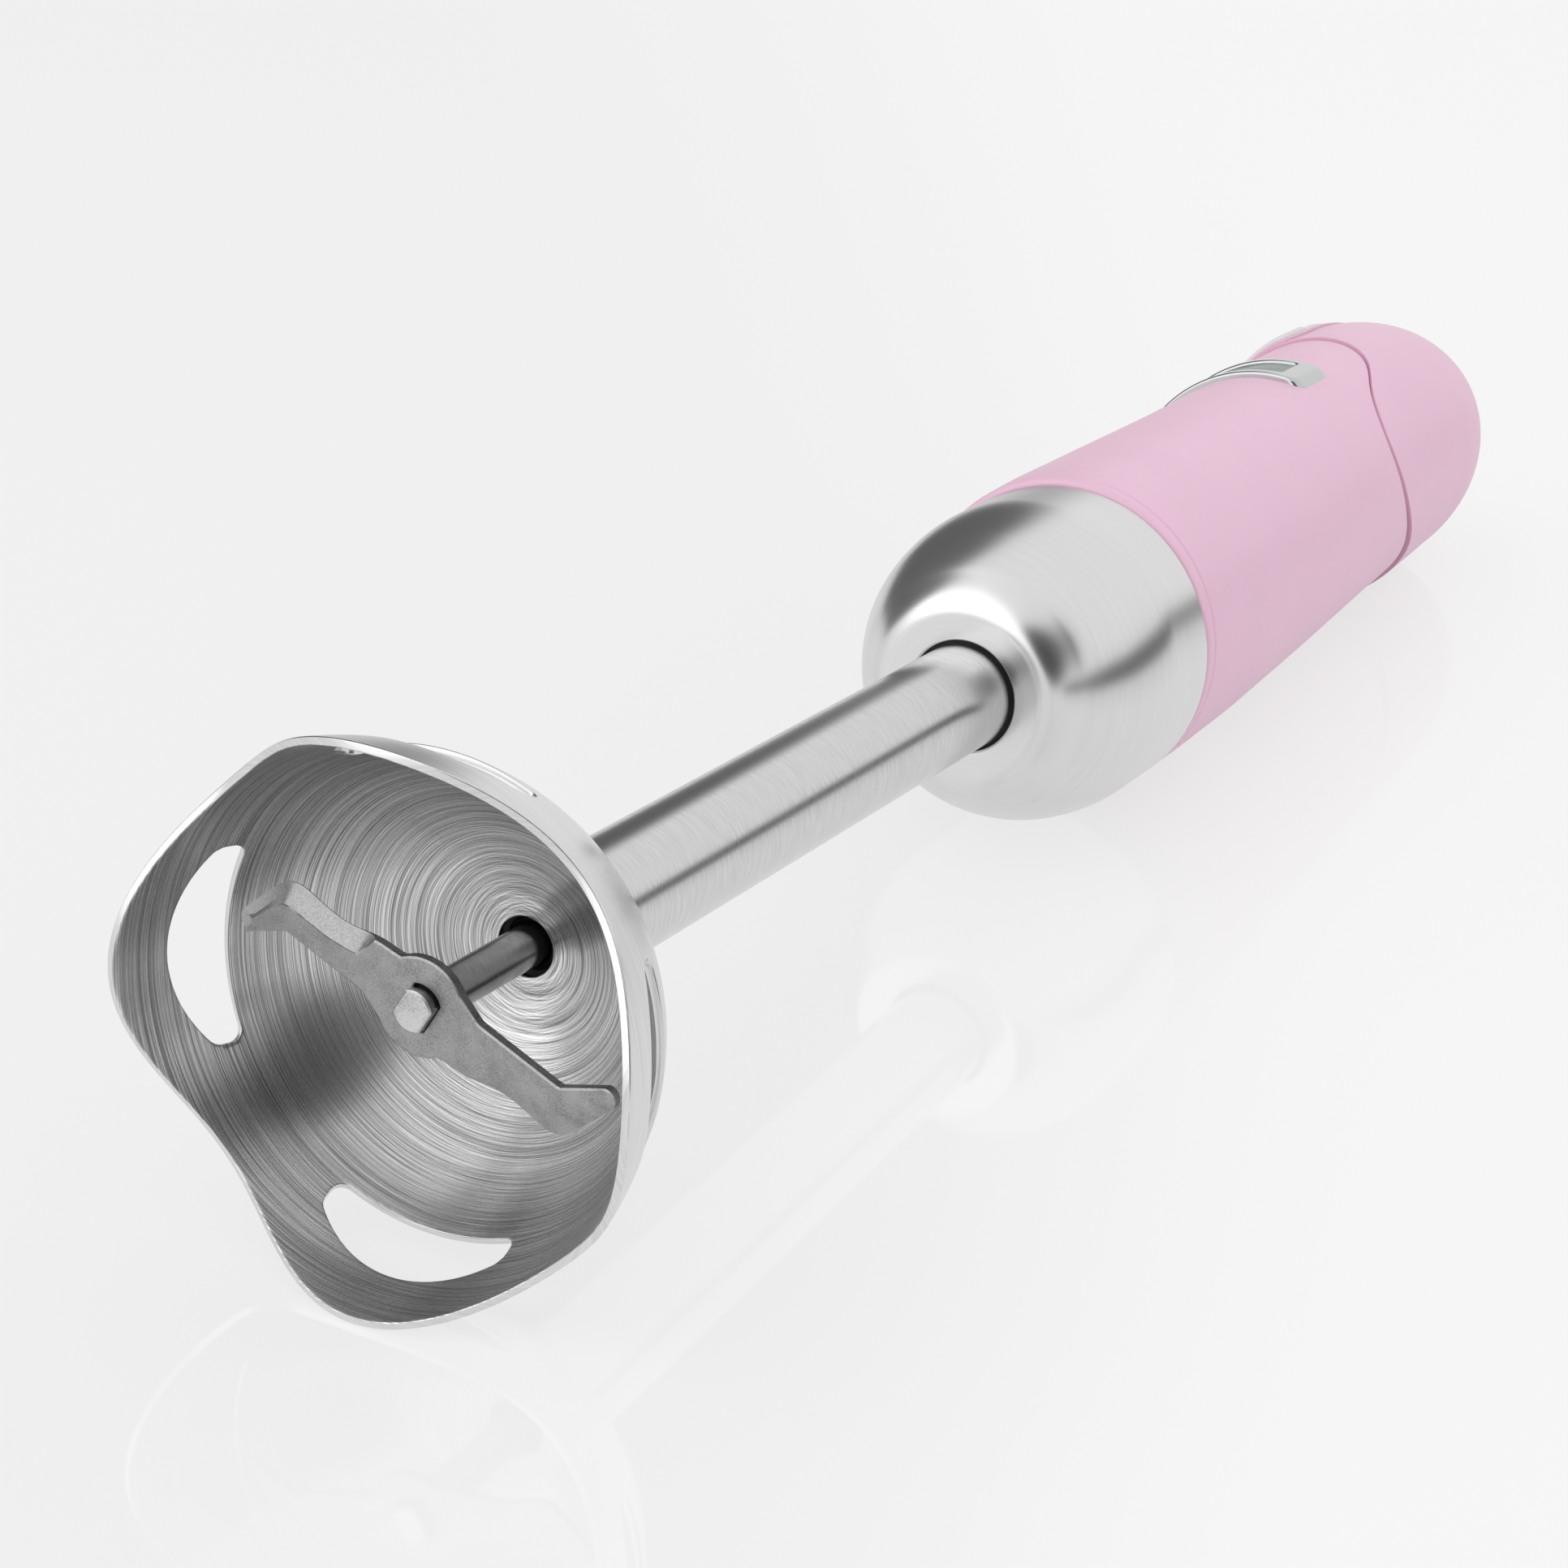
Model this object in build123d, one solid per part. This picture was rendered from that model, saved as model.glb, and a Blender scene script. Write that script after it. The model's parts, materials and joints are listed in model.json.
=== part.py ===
from build123d import *
import math
import os

# Immersion blender: a steel blending foot with a spinning blade, plugged into a motor handle.
# Every piece is first built upright: the long axis is Z, height 0 is the hole in the bell's roof,
# the handle is above, and +X is the front, where the buttons are. At the end the whole blender is
# laid down: the long axis points along +Y and one lobe of the bell points at the floor.
# All sizes are millimetres.

# ---------------------------------------------------------------- clearances
REST_GAP = 0.3           # between curved faces of pieces that move apart
RUNNING = 0.03           # radial clearance of a shaft in its bush
SLIDING = 0.35           # radial clearance of the plug sleeve in its socket
BUTTON_GAP = 0.3         # around each button in its window
EDGE_GAP = 0.4           # end play between stacked turning pieces
COIL_GAP = 0.6           # between the coils and what turns inside them
WINDING_GAP = 0.2        # between a coil and the iron round it
FAR = 60.0               # reaches past every outer face

# ---------------------------------------------------------------- bell (blade guard)
BELL_WALL = 1.2
BELL_HOLE_R = 3.88
BELL_ROOF = 1.4          # height of the seat for the tube
RIM_LEVEL = 30.62        # mean depth of the rim below the hole
RIM_WAVE = 3.63          # the rim swings this much up and down
LOBES = 4
WAVE_POINTS = 12         # points along the rim for each lobe
# radius, height and steepness (degrees from the axis) along the outer wall, rim to roof
BELL_OUTLINE = ((35.55, -34.8, 14.0), (33.5, -26.4, 17.0), (28.4, -14.4, 31.0), (18.6, -3.6, 52.0))
ROOF_STEEPNESS = 68.0
SLOT_HALF_WIDTH = 13.0
SLOT_INNER_LEVEL = -18.4
SLOT_DEPTH = 7.8
SLOT_SHOULDER = 3.6      # height of the window's square part before its curved side begins
SLOT_CORNER_R = 1.8

# ---------------------------------------------------------------- drive shaft and blade
SHAFT_R = 2.65
SHAFT_END = -23.5        # height of the flattened end's face
BLADE_FRONT = -22.0
BLADE_THICKNESS = 1.4
BLADE_HUB_R = 6.2
BLADE_ANGLE = 142.7      # degrees from the front
WING_BEND = 3.2          # degrees, one wing up and one down
WING_ROOT = 4.0          # the bend line's distance from the axis
FLATS_HALF = 2.05        # from the axis to each of the two flats of the shaft's end
FLATS_ANGLE = 75.0       # degrees from the front, along the flats
FLATS_GAP = 0.02
BLADE_HOLE_R = 3.0
# one wing in its own frame, along and across: straight leading edge, rounded tip, bowed trailing edge
WING_LEADING = ((0, -5.0), (4.4, -4.1), (8.1, -1.3), (20.0, 1.6), (25.9, -0.5))
WING_TIP = ((25.9, -0.5), (26.75, 0.35), (26.2, 1.4))
WING_TRAILING = ((23.2, 5.6), (20.6, 7.3), (16.6, 6.6), (11.3, 5.5), (7.4, 5.7), (3.4, 5.2), (0, 5.2))

# ---------------------------------------------------------------- tube and its bushes
TUBE_R = 8.1
TUBE_WALL = 1.0
TUBE_REACH = 119.8       # bare tube between bell and dome
TUBE_PLUG = 24.0         # tube length hidden in the dome
SEAL_R = 5.6
SEAL_LENGTH = 3.0
BUSH_R = 5.0
BUSH_LENGTH = 12.0
CARRIER_LIP = 1.2
UPPER_BUSH_LENGTH = 10.0
CLIP_LENGTH = 0.8
CLIP_R = 4.4
GROOVE_R = 2.15
CLIP_OPENING = 3.4       # width of the gap in each clip

# ---------------------------------------------------------------- dome (top of the blending foot)
DOME_WALL = 1.0
DOME_R = 25.1
DOME_HOLE_R = 8.6
DOME_HEIGHT = 36.8
DOME_SKIRT = 12.0        # straight part of the dome
DOME_FLAT_R = 12.4       # edge of the flat ring round the tube
# radius, height above the dome's foot and steepness (degrees from the axis) on its rounded face
DOME_FACE = ((18.4, 4.3, 42.0), (22.5, 11.2, 23.0), (24.5, 18.2, 10.0))
TUBE_SEAL_R = 9.8
TUBE_SEAL_LENGTH = 2.6
INSERT_HUB_R = 11.0
FLANGE_THICKNESS = 6.0
SLEEVE_R = 17.0
SLEEVE_WALL = 2.8
SLEEVE_REACH = 14.0      # how far the sleeve plugs into the handle
KEY_WIDTH = 4.0
KEY_DEPTH = 1.4

# ---------------------------------------------------------------- couplings
COUPLER_R = 6.5
DOG_INNER_R = 3.4
DOG_HEIGHT = 4.0
DOG_SPAN = 50.0          # degrees
DOGS = 3
COUPLER_HUB = 8.0
COUPLER_END = 1.0        # closed end of the drive coupler, before its bore
COUPLER_ROOM = 1.0       # free room round the couplers in the socket

# ---------------------------------------------------------------- handle shells
SHELL = 2.4
LIP_HEIGHT = 2.7
LIP_ROUND = 1.2
SOCKET_FLOOR = 2.5
# height above the start of the body, reach to the front, reach to the back
BODY_STATIONS = ((-2.7, 26.0, 25.0), (0.0, 26.3, 25.1), (29.0, 26.5, 24.4), (64.0, 26.7, 22.7),
                 (101.0, 27.5, 20.6), (139.0, 28.2, 18.6))
BODY_STEPS = 14          # sections in the body's smooth surface
CAP_STATIONS = ((85.0, 26.9, 21.6), (119.0, 27.8, 20.3), (132.0, 28.6, 19.8), (142.0, 28.6, 19.3))
CAP_LENGTH = 40.0        # the closing half ellipsoid's length above the last cap station
CAP_CUT = 33.0           # where the ellipsoid is cut flat for the dial
CAP_STEPS = 16           # sections in the cap's smooth surface
# seam between body and cap, seen from the side: front-back place, height above the body's start
SEAM = ((-30.0, 129.0), (-21.0, 119.0), (-12.0, 104.5), (-2.0, 101.0), (8.0, 108.5), (16.0, 123.5),
        (22.0, 128.0), (34.0, 129.5))

# ---------------------------------------------------------------- name plate (left bare)
PLATE_BOTTOM = 88.5      # above the body's start
PLATE_HEIGHT = 14.0
PLATE_HALF_WIDTH = 21.0
PLATE_PROUD = 1.1
PLATE_BAND = 2.6
PLATE_CORNER_R = 1.6
PLATE_SUNK = 1.0

# ---------------------------------------------------------------- buttons
BEZEL_BOTTOM = 131.5     # above the body's start
BEZEL_HEIGHT = 32.0
BEZEL_HALF_WIDTH = 9.0
BEZEL_CORNER_R = 4.0
BEZEL_PROUD = 0.6
BUTTON_HALF_WIDTH = 6.4
BUTTON_HEIGHT = 12.0
BUTTON_CORNER_R = 2.6
BUTTON_PROUD = 1.5
BUTTON_TRAVEL = 1.5
BUTTON_MARGIN = 3.0
BUTTON_FLANGE = 0.7      # width and thickness of the flange behind the bezel
BOARD_X = 12.0
BOARD_THICKNESS = 1.6
SWITCH_SIZE = (5.6, 9.0, 6.4)    # front-back, across, along
PLUNGER_R = 1.1
PLUNGER_GAP = 0.3
PLUNGER_DIP = 0.6        # how far a plunger reaches into its switch at rest
POST_HALF_WIDTH = 4.5
POST_LENGTH = 2.0

# ---------------------------------------------------------------- motor
MOTOR_SHAFT_R = 2.5
BRACKET_THICKNESS = 5.5
DAMPER_THICKNESS = 2.5
DAMPER_HOLE_R = 12.0
BEARING_R = 8.0
BEARING_LENGTH = 5.0
BEARING_CUP_WALL = 1.5
BEARING_STEP = 1.5       # the rear bearing stands this much beyond its plate's foot
FAN_GAP = 0.8            # between the fan and the bracket's posts
FAN_HEIGHT = 6.0
FAN_BLADES = 8
FAN_HUB_R = 5.0
FAN_DISC = 1.2           # thickness of the disc and of each vane
FAN_SWEEP = 20.0         # degrees each vane is turned
POST_R = 1.6
SCREW_R = 1.25
SCREW_HEAD = 1.6
SCREW_RECESS_R = 0.9
MOTOR_SCREWS = 4
STATOR_R = 18.5
STATOR_LENGTH = 26.0
STATOR_YOKE = 4.2
POLE_DEPTH = 3.6         # from the yoke to a pole's face
POLE_HALF_ANGLE = 42.3   # degrees, from a pole's middle to the side of its face
AIR_GAP = 0.5
COIL_LENGTH_OUT = 4.0    # coil heads beyond each end of the stator
ARMATURE_SLOTS = 12
SLOT_CUT_WIDTH = 1.7
SLOT_CUT_DEPTH = 4.2
WINDING_HEAD = 4.5
WINDING_SUNK = 0.8       # the wires end this much inside the armature's face
SLEEVING = 1.0           # bare shaft between the winding heads and the shaft
COMMUTATOR_STEP = 3.9    # the commutator is this much smaller than the armature, in radius
COMMUTATOR_LENGTH = 10.0
BAR_SLIT = 0.4
BAR_SLIT_DEPTH = 1.0
BRUSH_SIDE = 5.0
BRUSH_LENGTH = 6.0
BRUSH_BOX_WALL = 0.9
BRUSH_BOX_GAP = 1.2      # between the boxes and the commutator
BRUSH_BOX_INSET = 1.3    # from the stator's radius to the end of a brush box
SPRING_WIRE_R = 0.3
SPRING_R = 1.7
SPRING_PITCH = 1.1
REAR_PLATE_THICKNESS = 4.0
REAR_DAMPER_STEP = 0.5   # the rear damping ring is this much shorter at each face
STACK_GAP = 1.5          # along the axis between the motor's turning and standing pieces
POLE_FACE_R = STATOR_R - STATOR_YOKE - POLE_DEPTH
POLE_HALF_WIDTH = POLE_FACE_R * math.sin(math.radians(POLE_HALF_ANGLE))
POST_CIRCLE_R = STATOR_R - STATOR_YOKE / 2
FAN_R = POST_CIRCLE_R - POST_R - FAN_GAP
ARMATURE_R = POLE_FACE_R - AIR_GAP
COMMUTATOR_R = ARMATURE_R - COMMUTATOR_STEP
BRUSH_BOX_END = STATOR_R - BRUSH_BOX_INSET

# ---------------------------------------------------------------- electrics and cord inlet
POWER_BOARD = (1.6, 24.0, 44.0)
POWER_BOARD_X = -7.2
CAPACITOR = (9.0, 16.0, 14.0)
CHOKE_R = 4.0
CHOKE_LENGTH = 15.0
CHOKE_BORE_R = 1.5
CHOKE_SPACING = 2.0      # between the two chokes
BOARD_MARGIN = 4.0       # bare board below the chokes and above the capacitor
BRIDGE_THICKNESS = 2.6
BRIDGE_BELOW_TOP = 12.5
TERMINAL_BLOCK = (7.5, 14.0, 9.0)
TERMINAL_HOLE_R = 1.5
TERMINAL_HOLE_DEPTH = 3.0
TERMINAL_SPACING = 1.0   # between the clamp bar and the terminals
GLAND_R = 5.9
GLAND_BORE_R = 3.3
GLAND_RISE = 12.5        # above the cap's flat end
GLAND_FLANGE_R = 8.6
GLAND_FLANGE = 2.4
CLAMP_SIZE = (4.0, 15.0, 4.0)
TRACK_THICKNESS = 1.6
TRACK_R = 11.0

# ---------------------------------------------------------------- speed dial
DIAL_R = 11.6
DIAL_HEIGHT = 6.7
DIAL_SKIRT_R = 8.0
DIAL_GRIPS = 24
GRIP_R = 0.55
DIAL_ROUND = 1.4
RETAINER_R = 9.8
RETAINER_THICKNESS = 1.6
WIPER_SPAN = 40.0        # degrees

# ---------------------------------------------------------------- levels along the axis
TUBE_FOOT = BELL_ROOF
DOME_FOOT = TUBE_FOOT + TUBE_REACH
TUBE_TOP = DOME_FOOT + TUBE_PLUG
DOME_RIM = DOME_FOOT + DOME_HEIGHT
LIP_START = DOME_RIM + REST_GAP
BODY_START = LIP_START + LIP_HEIGHT
SLEEVE_TOP = BODY_START + SLEEVE_REACH - LIP_HEIGHT
SOCKET_TOP = SLEEVE_TOP + EDGE_GAP + SOCKET_FLOOR
DRIVEN_FOOT = TUBE_TOP + 2 * EDGE_GAP + CLIP_LENGTH
DRIVEN_TOP = DRIVEN_FOOT + COUPLER_HUB
DRIVE_FOOT = DRIVEN_TOP + DOG_HEIGHT + EDGE_GAP
FRONT_BRACKET_FOOT = SOCKET_TOP + DAMPER_THICKNESS
FRONT_BRACKET_TOP = FRONT_BRACKET_FOOT + BRACKET_THICKNESS
FAN_FOOT = FRONT_BRACKET_TOP + STACK_GAP
STATOR_FOOT = FAN_FOOT + FAN_HEIGHT + COIL_LENGTH_OUT + 2 * STACK_GAP
STATOR_TOP = STATOR_FOOT + STATOR_LENGTH
COMMUTATOR_FOOT = STATOR_TOP + WINDING_HEAD + STACK_GAP
REAR_PLATE_FOOT = COMMUTATOR_FOOT + COMMUTATOR_LENGTH + STACK_GAP
REAR_PLATE_TOP = REAR_PLATE_FOOT + REAR_PLATE_THICKNESS
REAR_BEARING_TOP = REAR_PLATE_FOOT + BEARING_STEP + BEARING_LENGTH
CAP_SHOULDER = BODY_START + CAP_STATIONS[-1][0]
CAP_TOP = CAP_SHOULDER + CAP_CUT
CAP_CENTRE = (CAP_STATIONS[-1][1] - CAP_STATIONS[-1][2]) / 2
BRIDGE_TOP = CAP_TOP - BRIDGE_BELOW_TOP + BRIDGE_THICKNESS


# ================================================================ helpers
def turned(points):
    """Solid of revolution about the long axis from (radius, height) corners."""
    outline = Polyline([(r, 0, z) for r, z in points], close=True)
    return revolve(make_face(outline), Axis.Z)


def rod(radius, bottom, top):
    """Round bar on the long axis."""
    return Pos(0, 0, bottom) * extrude(Circle(radius), top - bottom)


def ring(inner, outer, bottom, top):
    """Round sleeve on the long axis."""
    return Pos(0, 0, bottom) * extrude(Circle(outer) - Circle(inner), top - bottom)


def block(x_range, y_range, z_range):
    """Box between the given limits."""
    sizes = [high - low for low, high in (x_range, y_range, z_range)]
    centre = [(high + low) / 2 for low, high in (x_range, y_range, z_range)]
    return Pos(*centre) * Box(*sizes)


def around(shape, count, first=0.0):
    """Copies of a shape turned about the long axis."""
    return [Rot(0, 0, first + 360 / count * i) * shape for i in range(count)]


def sector(inner, outer, span, bottom, top):
    """Part of a sleeve that covers an angle, centred on the front."""
    x = FAR * math.cos(math.radians(span / 2))
    y = FAR * math.sin(math.radians(span / 2))
    wedge = Polyline([(0, 0), (x, -y), (x, y)], close=True)
    return Pos(0, 0, bottom) * extrude((Circle(outer) - Circle(inner)) & make_face(wedge), top - bottom)


def front_window(half_width, bottom, height, corner_r):
    """Prism with a rounded outline that runs out through the front of the handle."""
    outline = RectangleRounded(2 * half_width, height, corner_r)
    plane = Plane(origin=(0, 0, bottom + height / 2), x_dir=(0, 1, 0), z_dir=(1, 0, 0))
    return extrude(plane * outline, FAR)


def reach_at(stations, height):
    """Reach to the front and to the back at a height, between the two nearest stations."""
    upper = next(i for i in range(1, len(stations)) if height <= stations[i][0] or i == len(stations) - 1)
    low, front, back = stations[upper - 1]
    high, next_front, next_back = stations[upper]
    share = (height - low) / (high - low)
    return front + share * (next_front - front), back + share * (next_back - back)


def section(height, front, back, offset):
    """Round section of the handle, grown by an offset. Its start point lies at the back."""
    centre = Pos((front - back) / 2, 0, BODY_START + height)
    return centre * Rot(0, 0, 180) * Circle((front + back) / 2 + offset)


def even_heights(first, last, steps):
    """Evenly spaced heights, both ends included."""
    return [first + (last - first) * i / steps for i in range(steps + 1)]


def body_form(offset=0.0):
    """Solid outer shape of the handle's body, grown by an offset."""
    heights = even_heights(BODY_STATIONS[0][0], BODY_STATIONS[-1][0], BODY_STEPS)
    return loft([section(h, *reach_at(BODY_STATIONS, h), offset) for h in heights])


def cap_reach(height):
    """Reach of the cap: its stations, then a closing half ellipsoid."""
    shoulder, front, back = CAP_STATIONS[-1]
    if height <= shoulder:
        return reach_at(CAP_STATIONS, height)
    radius = (front + back) / 2 * math.sqrt(1 - ((height - shoulder) / CAP_LENGTH) ** 2)
    return radius + CAP_CENTRE, radius - CAP_CENTRE


def cap_form(offset=0.0):
    """Solid outer shape of the end cap, grown by an offset."""
    heights = even_heights(CAP_STATIONS[0][0], CAP_STATIONS[-1][0] + CAP_CUT, CAP_STEPS)
    return loft([section(h, *cap_reach(h), offset) for h in heights])


def above_seam():
    """Everything on the cap's side of the curved seam."""
    low = BODY_START
    curve = Spline([(x, 0, low + z) for x, z in SEAM])
    far = CAP_TOP + CAP_LENGTH
    sides = Polyline(
        (SEAM[0][0], 0, low + SEAM[0][1]),
        (SEAM[0][0], 0, far),
        (SEAM[-1][0], 0, far),
        (SEAM[-1][0], 0, low + SEAM[-1][1]),
    )
    return extrude(make_face(Curve() + [curve, sides]), FAR, both=True)


# ================================================================ blending foot
def bell_curve(inset):
    """Bell wall from rim to roof as one smooth curve, moved inwards by an inset."""
    outline = BELL_OUTLINE + ((TUBE_R, BELL_ROOF, ROOF_STEEPNESS),)
    points = []
    for radius, height, steep in outline:
        lean = math.radians(steep)
        points.append((radius - inset * math.cos(lean), 0, height - inset * math.sin(lean)))
    return Spline(points)


def wave_cutter():
    """Everything below the wavy rim."""
    steps = WAVE_POINTS * LOBES
    curves = []
    for radius in (TUBE_R, FAR):
        points = []
        for i in range(steps):
            angle = 2 * math.pi * i / steps
            height = -RIM_LEVEL + RIM_WAVE * math.cos(LOBES * angle)
            points.append((radius * math.cos(angle), radius * math.sin(angle), height))
        curves.append(Spline(points, periodic=True))
    wave = Face.make_surface_from_curves(curves[0].edge(), curves[1].edge())
    return extrude(wave, 4 * RIM_WAVE, dir=(0, 0, -1))


def side_window():
    """Prism of one bell window: straight inner side, bowed outer side, rounded corners."""
    low = SLOT_INNER_LEVEL
    half = SLOT_HALF_WIDTH
    shoulder = low - SLOT_SHOULDER
    sides = Polyline((-half, shoulder), (-half, low), (half, low), (half, shoulder))
    bow = ThreePointArc((half, shoulder), (0, low - SLOT_DEPTH), (-half, shoulder))
    outline = make_face(Curve() + [sides, bow])
    outline = fillet(outline.vertices(), SLOT_CORNER_R)
    plane = Plane(origin=(TUBE_R, 0, 0), x_dir=(0, 1, 0), z_dir=(1, 0, 0))
    return extrude(plane * outline, FAR)


def blade_guard():
    outer = bell_curve(0)
    inner = bell_curve(BELL_WALL)
    rim = Polyline(inner @ 0, outer @ 0)
    hub = Polyline(
        outer @ 1,
        (BELL_HOLE_R, 0, BELL_ROOF),
        (BELL_HOLE_R, 0, (inner @ 1).Z),
        inner @ 1,
    )
    bell = revolve(make_face(Curve() + [inner, rim, outer, hub]), Axis.Z)
    return bell - wave_cutter() - around(side_window(), LOBES, first=180 / LOBES)


def shaft_tube():
    return ring(TUBE_R - TUBE_WALL, TUBE_R, TUBE_FOOT, TUBE_TOP)


def shaft_seal():
    return ring(SHAFT_R + RUNNING, SEAL_R, TUBE_FOOT, TUBE_FOOT + SEAL_LENGTH)


def lower_carrier():
    outer = TUBE_R - TUBE_WALL
    seat = TUBE_FOOT + SEAL_LENGTH
    bush_foot = seat + CARRIER_LIP
    return turned([
        (SEAL_R, TUBE_FOOT), (outer, TUBE_FOOT), (outer, bush_foot + BUSH_LENGTH),
        (BUSH_R, bush_foot + BUSH_LENGTH), (BUSH_R, bush_foot), (BUSH_R - CARRIER_LIP, bush_foot),
        (BUSH_R - CARRIER_LIP, seat), (SEAL_R, seat),
    ])


def lower_bush_foot():
    return TUBE_FOOT + SEAL_LENGTH + CARRIER_LIP


def lower_bush():
    foot = lower_bush_foot()
    return ring(SHAFT_R + RUNNING, BUSH_R, foot, foot + BUSH_LENGTH)


def upper_carrier():
    outer = TUBE_R - TUBE_WALL
    foot = TUBE_TOP - UPPER_BUSH_LENGTH
    return turned([
        (BUSH_R - CARRIER_LIP, foot - CARRIER_LIP), (outer, foot - CARRIER_LIP), (outer, TUBE_TOP),
        (BUSH_R, TUBE_TOP), (BUSH_R, foot), (BUSH_R - CARRIER_LIP, foot),
    ])


def upper_bush():
    return ring(SHAFT_R + RUNNING, BUSH_R, TUBE_TOP - UPPER_BUSH_LENGTH, TUBE_TOP)


def tube_seal():
    foot = DOME_FOOT + DOME_WALL
    return ring(TUBE_R, TUBE_SEAL_R, foot, foot + TUBE_SEAL_LENGTH)


def dome_profile(inset):
    """Dome wall from its flat ring to its skirt, moved inwards by an inset."""
    points = [(DOME_FLAT_R, 0, DOME_FOOT + inset)]
    for radius, height, steep in DOME_FACE:
        lean = math.radians(steep)
        points.append((radius - inset * math.cos(lean), 0, DOME_FOOT + height + inset * math.sin(lean)))
    points.append((DOME_R - inset, 0, DOME_RIM - DOME_SKIRT))
    return Spline(points, tangents=[(1, 0, 0), (0, 0, 1)])


def coupling_dome():
    outer = dome_profile(0)
    inner = dome_profile(DOME_WALL)
    foot = Polyline(
        inner @ 0,
        (DOME_HOLE_R, 0, DOME_FOOT + DOME_WALL),
        (DOME_HOLE_R, 0, DOME_FOOT),
        outer @ 0,
    )
    skirt = Polyline(outer @ 1, (DOME_R, 0, DOME_RIM), (DOME_R - DOME_WALL, 0, DOME_RIM), inner @ 1)
    return revolve(make_face(Curve() + [outer, skirt, inner, foot]), Axis.Z)


def shaft_insert():
    """Plastic core: grips the tube, fills the dome with a flange and plugs into the handle."""
    hub_foot = DOME_FOOT + DOME_WALL + TUBE_SEAL_LENGTH
    flange_foot = DOME_RIM - DOME_SKIRT + REST_GAP
    flange_top = flange_foot + FLANGE_THICKNESS
    sleeve_inner = SLEEVE_R - SLEEVE_WALL
    core = turned([
        (TUBE_R, hub_foot), (INSERT_HUB_R, hub_foot), (INSERT_HUB_R, flange_foot),
        (DOME_R - DOME_WALL, flange_foot), (DOME_R - DOME_WALL, flange_top), (SLEEVE_R, flange_top),
        (SLEEVE_R, SLEEVE_TOP), (sleeve_inner, SLEEVE_TOP), (sleeve_inner, TUBE_TOP + EDGE_GAP),
        (TUBE_R - TUBE_WALL, TUBE_TOP + EDGE_GAP), (TUBE_R - TUBE_WALL, TUBE_TOP), (TUBE_R, TUBE_TOP),
    ])
    key = block(
        (SLEEVE_R - SLEEVE_WALL / 2, SLEEVE_R + KEY_DEPTH),
        (-KEY_WIDTH / 2, KEY_WIDTH / 2),
        (BODY_START + REST_GAP, SLEEVE_TOP),
    )
    return core + around(key, 2)


# ================================================================ drive shaft unit
def flattened(radius, half, bottom, top):
    """Round bar with two parallel flats."""
    strip = Rot(0, 0, FLATS_ANGLE) * Rectangle(FAR, 2 * half)
    return Pos(0, 0, bottom) * extrude(Circle(radius) & strip, top - bottom)


def drive_shaft():
    shoulder = BLADE_FRONT + BLADE_THICKNESS
    shaft = rod(SHAFT_R, shoulder, DRIVEN_TOP - EDGE_GAP)
    shaft += flattened(SHAFT_R, FLATS_HALF, SHAFT_END, shoulder)
    for foot in clip_levels():
        shaft -= ring(GROOVE_R, 2 * SHAFT_R, foot, foot + CLIP_LENGTH)
    return shaft


def clip_levels():
    """Heights of the two clip grooves: above the lower bush and above the tube's upper bush."""
    return (lower_bush_foot() + BUSH_LENGTH + REST_GAP, TUBE_TOP + REST_GAP)


def retaining_clips():
    clips = []
    for foot in clip_levels():
        opening = block((0, 2 * CLIP_R), (-CLIP_OPENING / 2, CLIP_OPENING / 2), (foot, foot + CLIP_LENGTH))
        clips.append(ring(GROOVE_R, CLIP_R, foot, foot + CLIP_LENGTH) - opening)
    return Compound(clips)


def wing_outline():
    """One wing: straight leading edge, hooked tip and a bowed trailing edge."""
    leading = Polyline(*WING_LEADING)
    tip = ThreePointArc(*WING_TIP)
    hook = Line(WING_TIP[-1], WING_TRAILING[0])
    trailing = Spline(*WING_TRAILING)
    root = Line(WING_TRAILING[-1], WING_LEADING[0])
    return make_face(Curve() + [leading, tip, hook, trailing, root])


def folded_plate():
    """Wide strip with two fold lines beside the hub: one end bends down, the other up."""
    drop = (FAR - WING_ROOT) * math.tan(math.radians(WING_BEND))
    lower = [(-FAR, drop), (-WING_ROOT, 0), (WING_ROOT, 0), (FAR, -drop)]
    upper = [(x, z + BLADE_THICKNESS) for x, z in reversed(lower)]
    profile = make_face(Polyline([(x, 0, z) for x, z in lower + upper], close=True))
    return extrude(profile, FAR, both=True)


def blade():
    outline = Circle(BLADE_HUB_R) + wing_outline() + Rot(0, 0, 180) * wing_outline()
    plate = extrude(outline, FAR, both=True) & folded_plate()
    plate = Pos(0, 0, BLADE_FRONT) * Rot(0, 0, BLADE_ANGLE) * plate
    return plate - flattened(BLADE_HOLE_R, FLATS_HALF + FLATS_GAP, SHAFT_END, 0)


def dogs(bottom, top, first):
    """Ring of coupling dogs."""
    return around(sector(DOG_INNER_R, COUPLER_R, DOG_SPAN, bottom, top), DOGS, first)


def driven_coupler():
    hub = rod(COUPLER_R, DRIVEN_FOOT, DRIVEN_TOP) - rod(SHAFT_R, DRIVEN_FOOT, DRIVEN_TOP - EDGE_GAP)
    return hub + dogs(DRIVEN_TOP, DRIVEN_TOP + DOG_HEIGHT, 0)


# ================================================================ handle shells
def slab(bottom, top):
    """Everything between two heights."""
    return block((-FAR, FAR), (-FAR, FAR), (bottom, top))


def seat_plate(bottom, top):
    """Plate that fills the body's hollow between two heights."""
    return body_form(-SHELL) & slab(bottom, top)


def trim_lip():
    lip = body_form() & slab(LIP_START, BODY_START)
    edge = lip.edges().sort_by(Axis.Z)[0]
    lip = fillet(edge, LIP_ROUND)
    return lip - body_form(-SHELL)


def handle_body():
    shell = (body_form() & slab(BODY_START, CAP_SHOULDER)) - above_seam()
    shell -= plate_window(0) - body_form(-PLATE_SUNK)
    return shell - body_form(-SHELL)


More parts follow.
